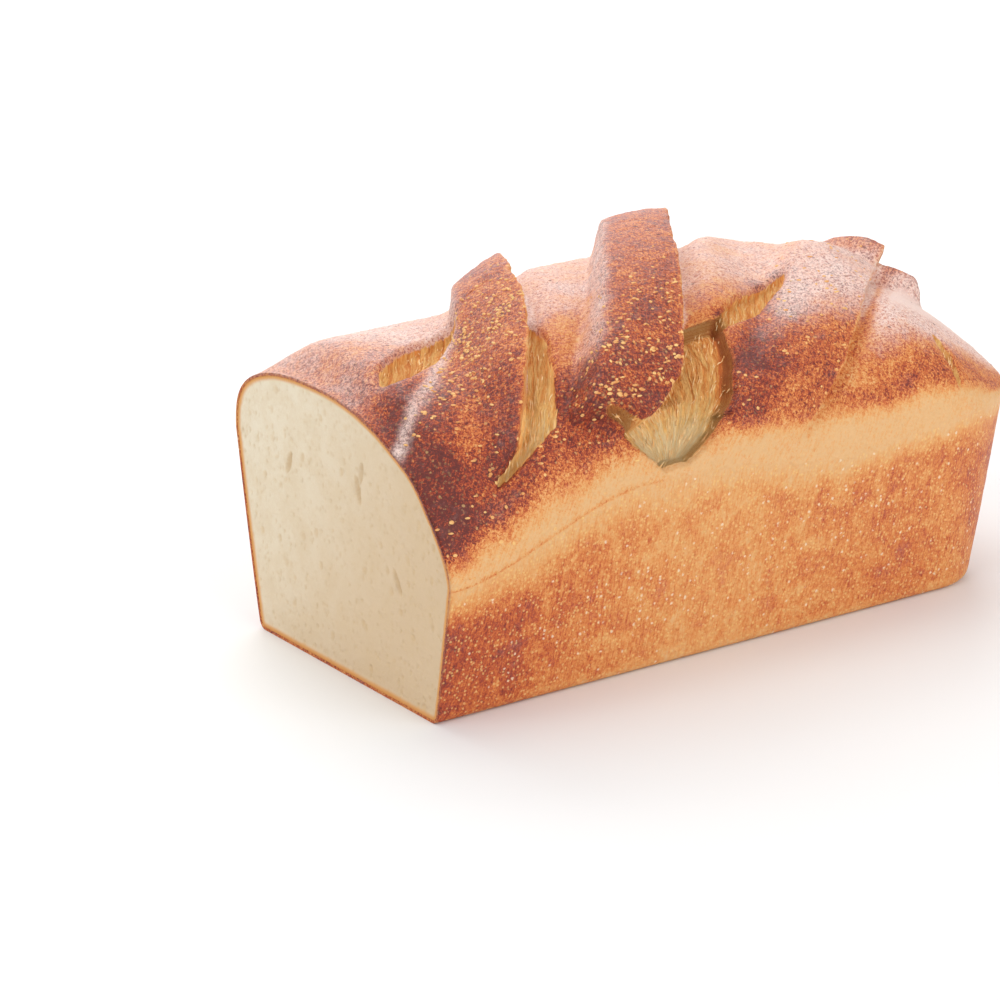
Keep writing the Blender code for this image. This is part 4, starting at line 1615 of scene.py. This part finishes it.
@dataclass
class CutFace:
    """Soft crumb of the cut face: a plug in the rim's pocket whose front is open with pores."""

    depth: float = 0.0046
    overlap: float = 0.0002
    sunk: float = 0.00015
    golden_width: float = 0.0026
    pore_edge: tuple[float, float] = (0.65, 0.825)
    pore_bend: float = 0.0022
    cells_across: int = 240
    cells_up: int = 220
    pores: tuple[Oval, ...] = (
        Oval(-0.012, 0.070, 0.0040, 0.0011, 100, 0.0016),
        Oval(-0.010, 0.064, 0.0050, 0.0013, 75, 0.0018),
        Oval(0.030, 0.062, 0.0042, 0.0014, 110, 0.0018),
        Oval(-0.032, 0.040, 0.0046, 0.0012, 60, 0.0016),
    )

    def front(self, outline: Array, bottom_cells: int, side_cells: int) -> tuple[Array, tuple[int, int]]:
        """Even grid over the outline, blended from its four sides.

        Args:
            outline: Closed outline, front wall upwards first, then the dome, the back wall downwards
                and the base.
            bottom_cells: Points of the outline that belong to the base alone.
            side_cells: Cells up each wall.

        Returns:
            The grid's points, row by row, and the count of points up and across.
        """
        across = len(outline) - bottom_cells - 2 * side_cells
        front, top = outline[: side_cells + 1], outline[side_cells: side_cells + across]
        back = outline[side_cells + across - 1: 2 * side_cells + across][::-1]
        base = np.concatenate([[back[0]], outline[2 * side_cells + across:], [front[0]]])[::-1]
        u, v = np.linspace(0, 1, self.cells_across + 1), np.linspace(0, 1, self.cells_up + 1)

        def even(line: Array, shares: Array) -> Array:
            """Points at even shares of a line's length."""
            way = np.concatenate([[0.0], np.cumsum(np.linalg.norm(np.diff(line, axis=0), axis=1))])
            return np.stack([np.interp(shares * way[-1], way, line[:, axis]) for axis in range(3)], -1)

        low, high, left, right = even(base, u), even(top, u), even(front, v), even(back, v)
        a, c = u[None, :, None], v[:, None, None]
        grid = (1 - c) * low[None] + c * high[None] + (1 - a) * left[:, None] + a * right[:, None]
        low_corners = (1 - a) * low[0] + a * low[-1]
        high_corners = (1 - a) * high[0] + a * high[-1]
        return grid - (1 - c) * low_corners - c * high_corners, (len(v), len(u))

    def build(self, outline: Array, bottom_cells: int, side_cells: int) -> bpy.types.Mesh:
        """Build the plug.

        Args:
            outline: Outline of the crumb on the cut plane.
            bottom_cells: Points of the outline that belong to the base alone.
            side_cells: Cells up each wall.

        Returns:
            The mesh.
        """
        grid, (nv, nu) = self.front(outline, bottom_cells, side_cells)
        ids = np.arange(nv * nu).reshape(nv, nu)
        ring = np.concatenate([ids[0], ids[1:, -1], ids[-1, -2::-1], ids[-2:0:-1, 0]])
        verts = grid.reshape(-1, 3).copy()
        edge = verts[ring]
        verts[ring] = edge + unit(edge - edge.mean(axis=0)) * self.overlap
        gap = np.concatenate([
            np.linalg.norm(row[:, None, 1:] - edge[None, ::2, 1:], axis=2).min(axis=1)
            for row in verts.reshape(nv, nu, 3)
        ])
        verts[:, 0] += self.sunk
        deep_ids = np.arange(len(verts), len(verts) + len(ring))
        deep = verts[ring] + [self.depth, 0.0, 0.0]
        faces = []
        for j in range(nv - 1):
            faces += strips(ids[j + 1], ids[j])
        faces += strips(np.append(ring, ring[0]), np.append(deep_ids, deep_ids[0]))
        faces.append(tuple(deep_ids.tolist()))
        pit = np.zeros(len(verts))
        for pore in self.pores:
            pit = np.maximum(pit, pore.amount * pore.mask(verts[:, 1], verts[:, 2], *self.pore_edge))
        pad = np.zeros(len(deep))
        values = {
            "rim": np.concatenate([1 - ease(0.0, self.golden_width, gap), pad + 1]),
            "open": np.concatenate([ease(0.0004, 0.0025, gap), pad]),
            "pit": np.concatenate([pit, pad]),
        }
        return mesh_of("crumb", np.concatenate([verts, deep]), faces, values)

    def dress(self, mesh: bpy.types.Mesh, material: bpy.types.Material) -> bpy.types.Object:
        """Open the pores in the plug's front and give it its finish.

        Args:
            mesh: The plug.
            material: The crumb's finish.

        Returns:
            The finished piece.
        """
        tree = GrowingTree(
            "open pores",
            {
                "Pore Spacing": ("NodeSocketFloat", 0.0017),
                "Pore Depth": ("NodeSocketFloat", 0.00045),
                "Wide Spacing": ("NodeSocketFloat", 0.0062),
                "Wide Depth": ("NodeSocketFloat", 0.0008),
                "Unevenness": ("NodeSocketFloat", 0.0008),
            },
        )
        graph, given = tree.graph, tree.given
        places = graph.out("GeometryNodeInputPosition", "Position")
        is_open, pit = tree.attribute("open"), tree.attribute("pit")
        flat = graph.stretch(places, (0.0, 1.0, 0.72))
        warp = graph.out("ShaderNodeTexNoise", "Color", {"Vector": flat, "Scale": 260.0, "Detail": 2.0})
        bent = graph.vector("ADD", flat, graph.vector("SCALE", warp, scale=self.pore_bend))

        def pits(spacing: Any, depth: Any, size: float, share: float) -> Socket:
            """Pits of one spacing, of which a share is open."""
            scale = graph.math("DIVIDE", 1.0, spacing)
            node = graph.add("ShaderNodeTexVoronoi", {"Vector": bent, "Scale": scale})
            chance = graph.out("ShaderNodeSeparateXYZ", "X", {"Vector": node.outputs["Color"]})
            reach = graph.ease(node.outputs["Distance"], size, size * 0.35)
            held = graph.ease(chance, share, share - 0.35)
            return graph.math("MULTIPLY", graph.math("MULTIPLY", reach, held), depth)

        small = pits(given["Pore Spacing"], given["Pore Depth"], 0.48, 0.75)
        wide = pits(given["Wide Spacing"], given["Wide Depth"], 0.22, 0.40)
        uneven = graph.math("MULTIPLY", graph.noise(places, 300.0, 4.0, 0.6), given["Unevenness"])
        deep = graph.math("MAXIMUM", graph.math("MAXIMUM", small, wide), pit)
        inward = graph.math("MULTIPLY", graph.math("ADD", deep, uneven), is_open)
        offset = graph.out("ShaderNodeCombineXYZ", "Vector", {"X": inward})
        moved = graph.shifted(tree.source, offset)
        # Depth share of the pores, kept so that the crumb's colour paints shade into them.
        shade = graph.math("MINIMUM", graph.math("DIVIDE", deep, given["Pore Depth"]), 1.0)
        kept = {"Geometry": moved, "Name": "pore", "Value": shade}
        kept = graph.out("GeometryNodeStoreNamedAttribute", "Geometry", kept, domain="POINT")
        tree.end(kept, material)
        return tree.grow(mesh, "crumb")


@dataclass(frozen=True)
class SoftLight:
    """Square light: the direction that it stands in in degrees, its side and its watts."""

    name: str
    azimuth: float
    elevation: float
    size: float
    power: float


@dataclass(frozen=True)
class Studio:
    """Pale floor, soft light and the camera of the photograph."""

    azimuth: float = -35.1296
    elevation: float = 19.3068
    distance: float = 1.3
    lens: float = 142.77
    sensor: float = 36.0
    target: tuple[float, float, float] = (-0.05205, 0.0162, 0.0386)
    floor_size: float = 6.0
    floor_colour: tuple = (0.86, 0.86, 0.86, 1.0)
    floor_shade: tuple = (0.80, 0.80, 0.80, 1.0)
    lights: tuple[SoftLight, ...] = (
        SoftLight("key_light", -80.0, 42.0, 1.0, 6.0),
        SoftLight("fill_light", 14.0, 22.0, 1.3, 9.5),
        SoftLight("top_light", 160.0, 66.0, 1.2, 7.0),
        SoftLight("back_light", 158.0, 26.0, 1.4, 11.0),
    )
    light_distance: float = 1.4
    world_strength: float = 0.52

    def away(self, azimuth: float, elevation: float) -> Vector:
        """Direction from the loaf towards a viewer at that azimuth and elevation in degrees."""
        a, e = radians(azimuth), radians(elevation)
        return Vector((sin(a) * cos(e), -cos(a) * cos(e), sin(e)))

    def aim(self, thing: bpy.types.Object, away: Vector, distance: float) -> None:
        """Put a camera or a light at a distance from the target and turn it there."""
        thing.location = Vector(self.target) + away * distance
        thing.rotation_mode = "QUATERNION"
        thing.rotation_quaternion = (-away).to_track_quat("-Z", "Y")
        bpy.context.scene.collection.objects.link(thing)

    def lay_floor(self) -> None:
        """Lay the pale floor."""
        half = self.floor_size / 2
        corners = np.array([(-half, -half, 0.0), (half, -half, 0.0), (half, half, 0.0), (-half, half, 0.0)])
        floor = bpy.data.objects.new("floor", mesh_of("floor", corners, [(0, 1, 2, 3)], {}))
        material, graph, shader = new_material("pale_floor", {"Roughness": 0.7})
        tone = graph.noise(graph.out("ShaderNodeTexCoord", "Object"), 3.0, 1.0)
        colour = graph.mix(graph.math("MULTIPLY", tone, 0.04), self.floor_colour, self.floor_shade)
        graph.feed(shader, "Base Color", colour)
        floor.data.materials.append(material)
        bpy.context.scene.collection.objects.link(floor)

    def add_light(self, light: SoftLight) -> None:
        """Hang one light over the loaf."""
        data = bpy.data.lights.new(light.name, "AREA")
        data.size = light.size
        data.energy = light.power
        away = self.away(light.azimuth, light.elevation)
        self.aim(bpy.data.objects.new(light.name, data), away, self.light_distance)

    def build(self) -> None:
        """Set up the floor, the lights, the world and the camera."""
        self.lay_floor()
        for light in self.lights:
            self.add_light(light)
        world = bpy.data.worlds.new("studio")
        world.use_nodes = True
        background = world.node_tree.nodes["Background"]
        background.inputs["Color"].default_value = (1.0, 1.0, 1.0, 1.0)
        background.inputs["Strength"].default_value = self.world_strength
        scene = bpy.context.scene
        scene.world = world
        scene.view_settings.view_transform = "Standard"
        data = bpy.data.cameras.new("camera")
        data.lens, data.sensor_width = self.lens, self.sensor
        camera = bpy.data.objects.new("camera", data)
        self.aim(camera, self.away(self.azimuth, self.elevation), self.distance)
        scene.camera = camera


def main() -> None:
    """Build the loaf's pieces in order."""
    logging.basicConfig(level=logging.INFO)
    Studio().build()
    low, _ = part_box("loaf")
    dome, slashes = Dome(), Slashes()
    shift = np.array([low.x, low.y + dome.tin.width / 2 + dome.tin.front_spread, low.z])
    effects = Effects()
    crust = Crust(dome, slashes, Oven())
    skin, outline = crust.build(shift)
    crust_piece = crust.dress(skin, CrustFinish(effects).material())
    ride(crust_piece)
    ride(GoldFlakes().grow(crust_piece.data))
    ride(TornStrands().grow(crust_piece.data))
    face = CutFace()
    plug = face.build(outline, crust.base_cells - 1, crust.wall_rows)
    ride(face.dress(plug, CrumbFinish(effects).material()))


if __name__ == "__main__":
    main()
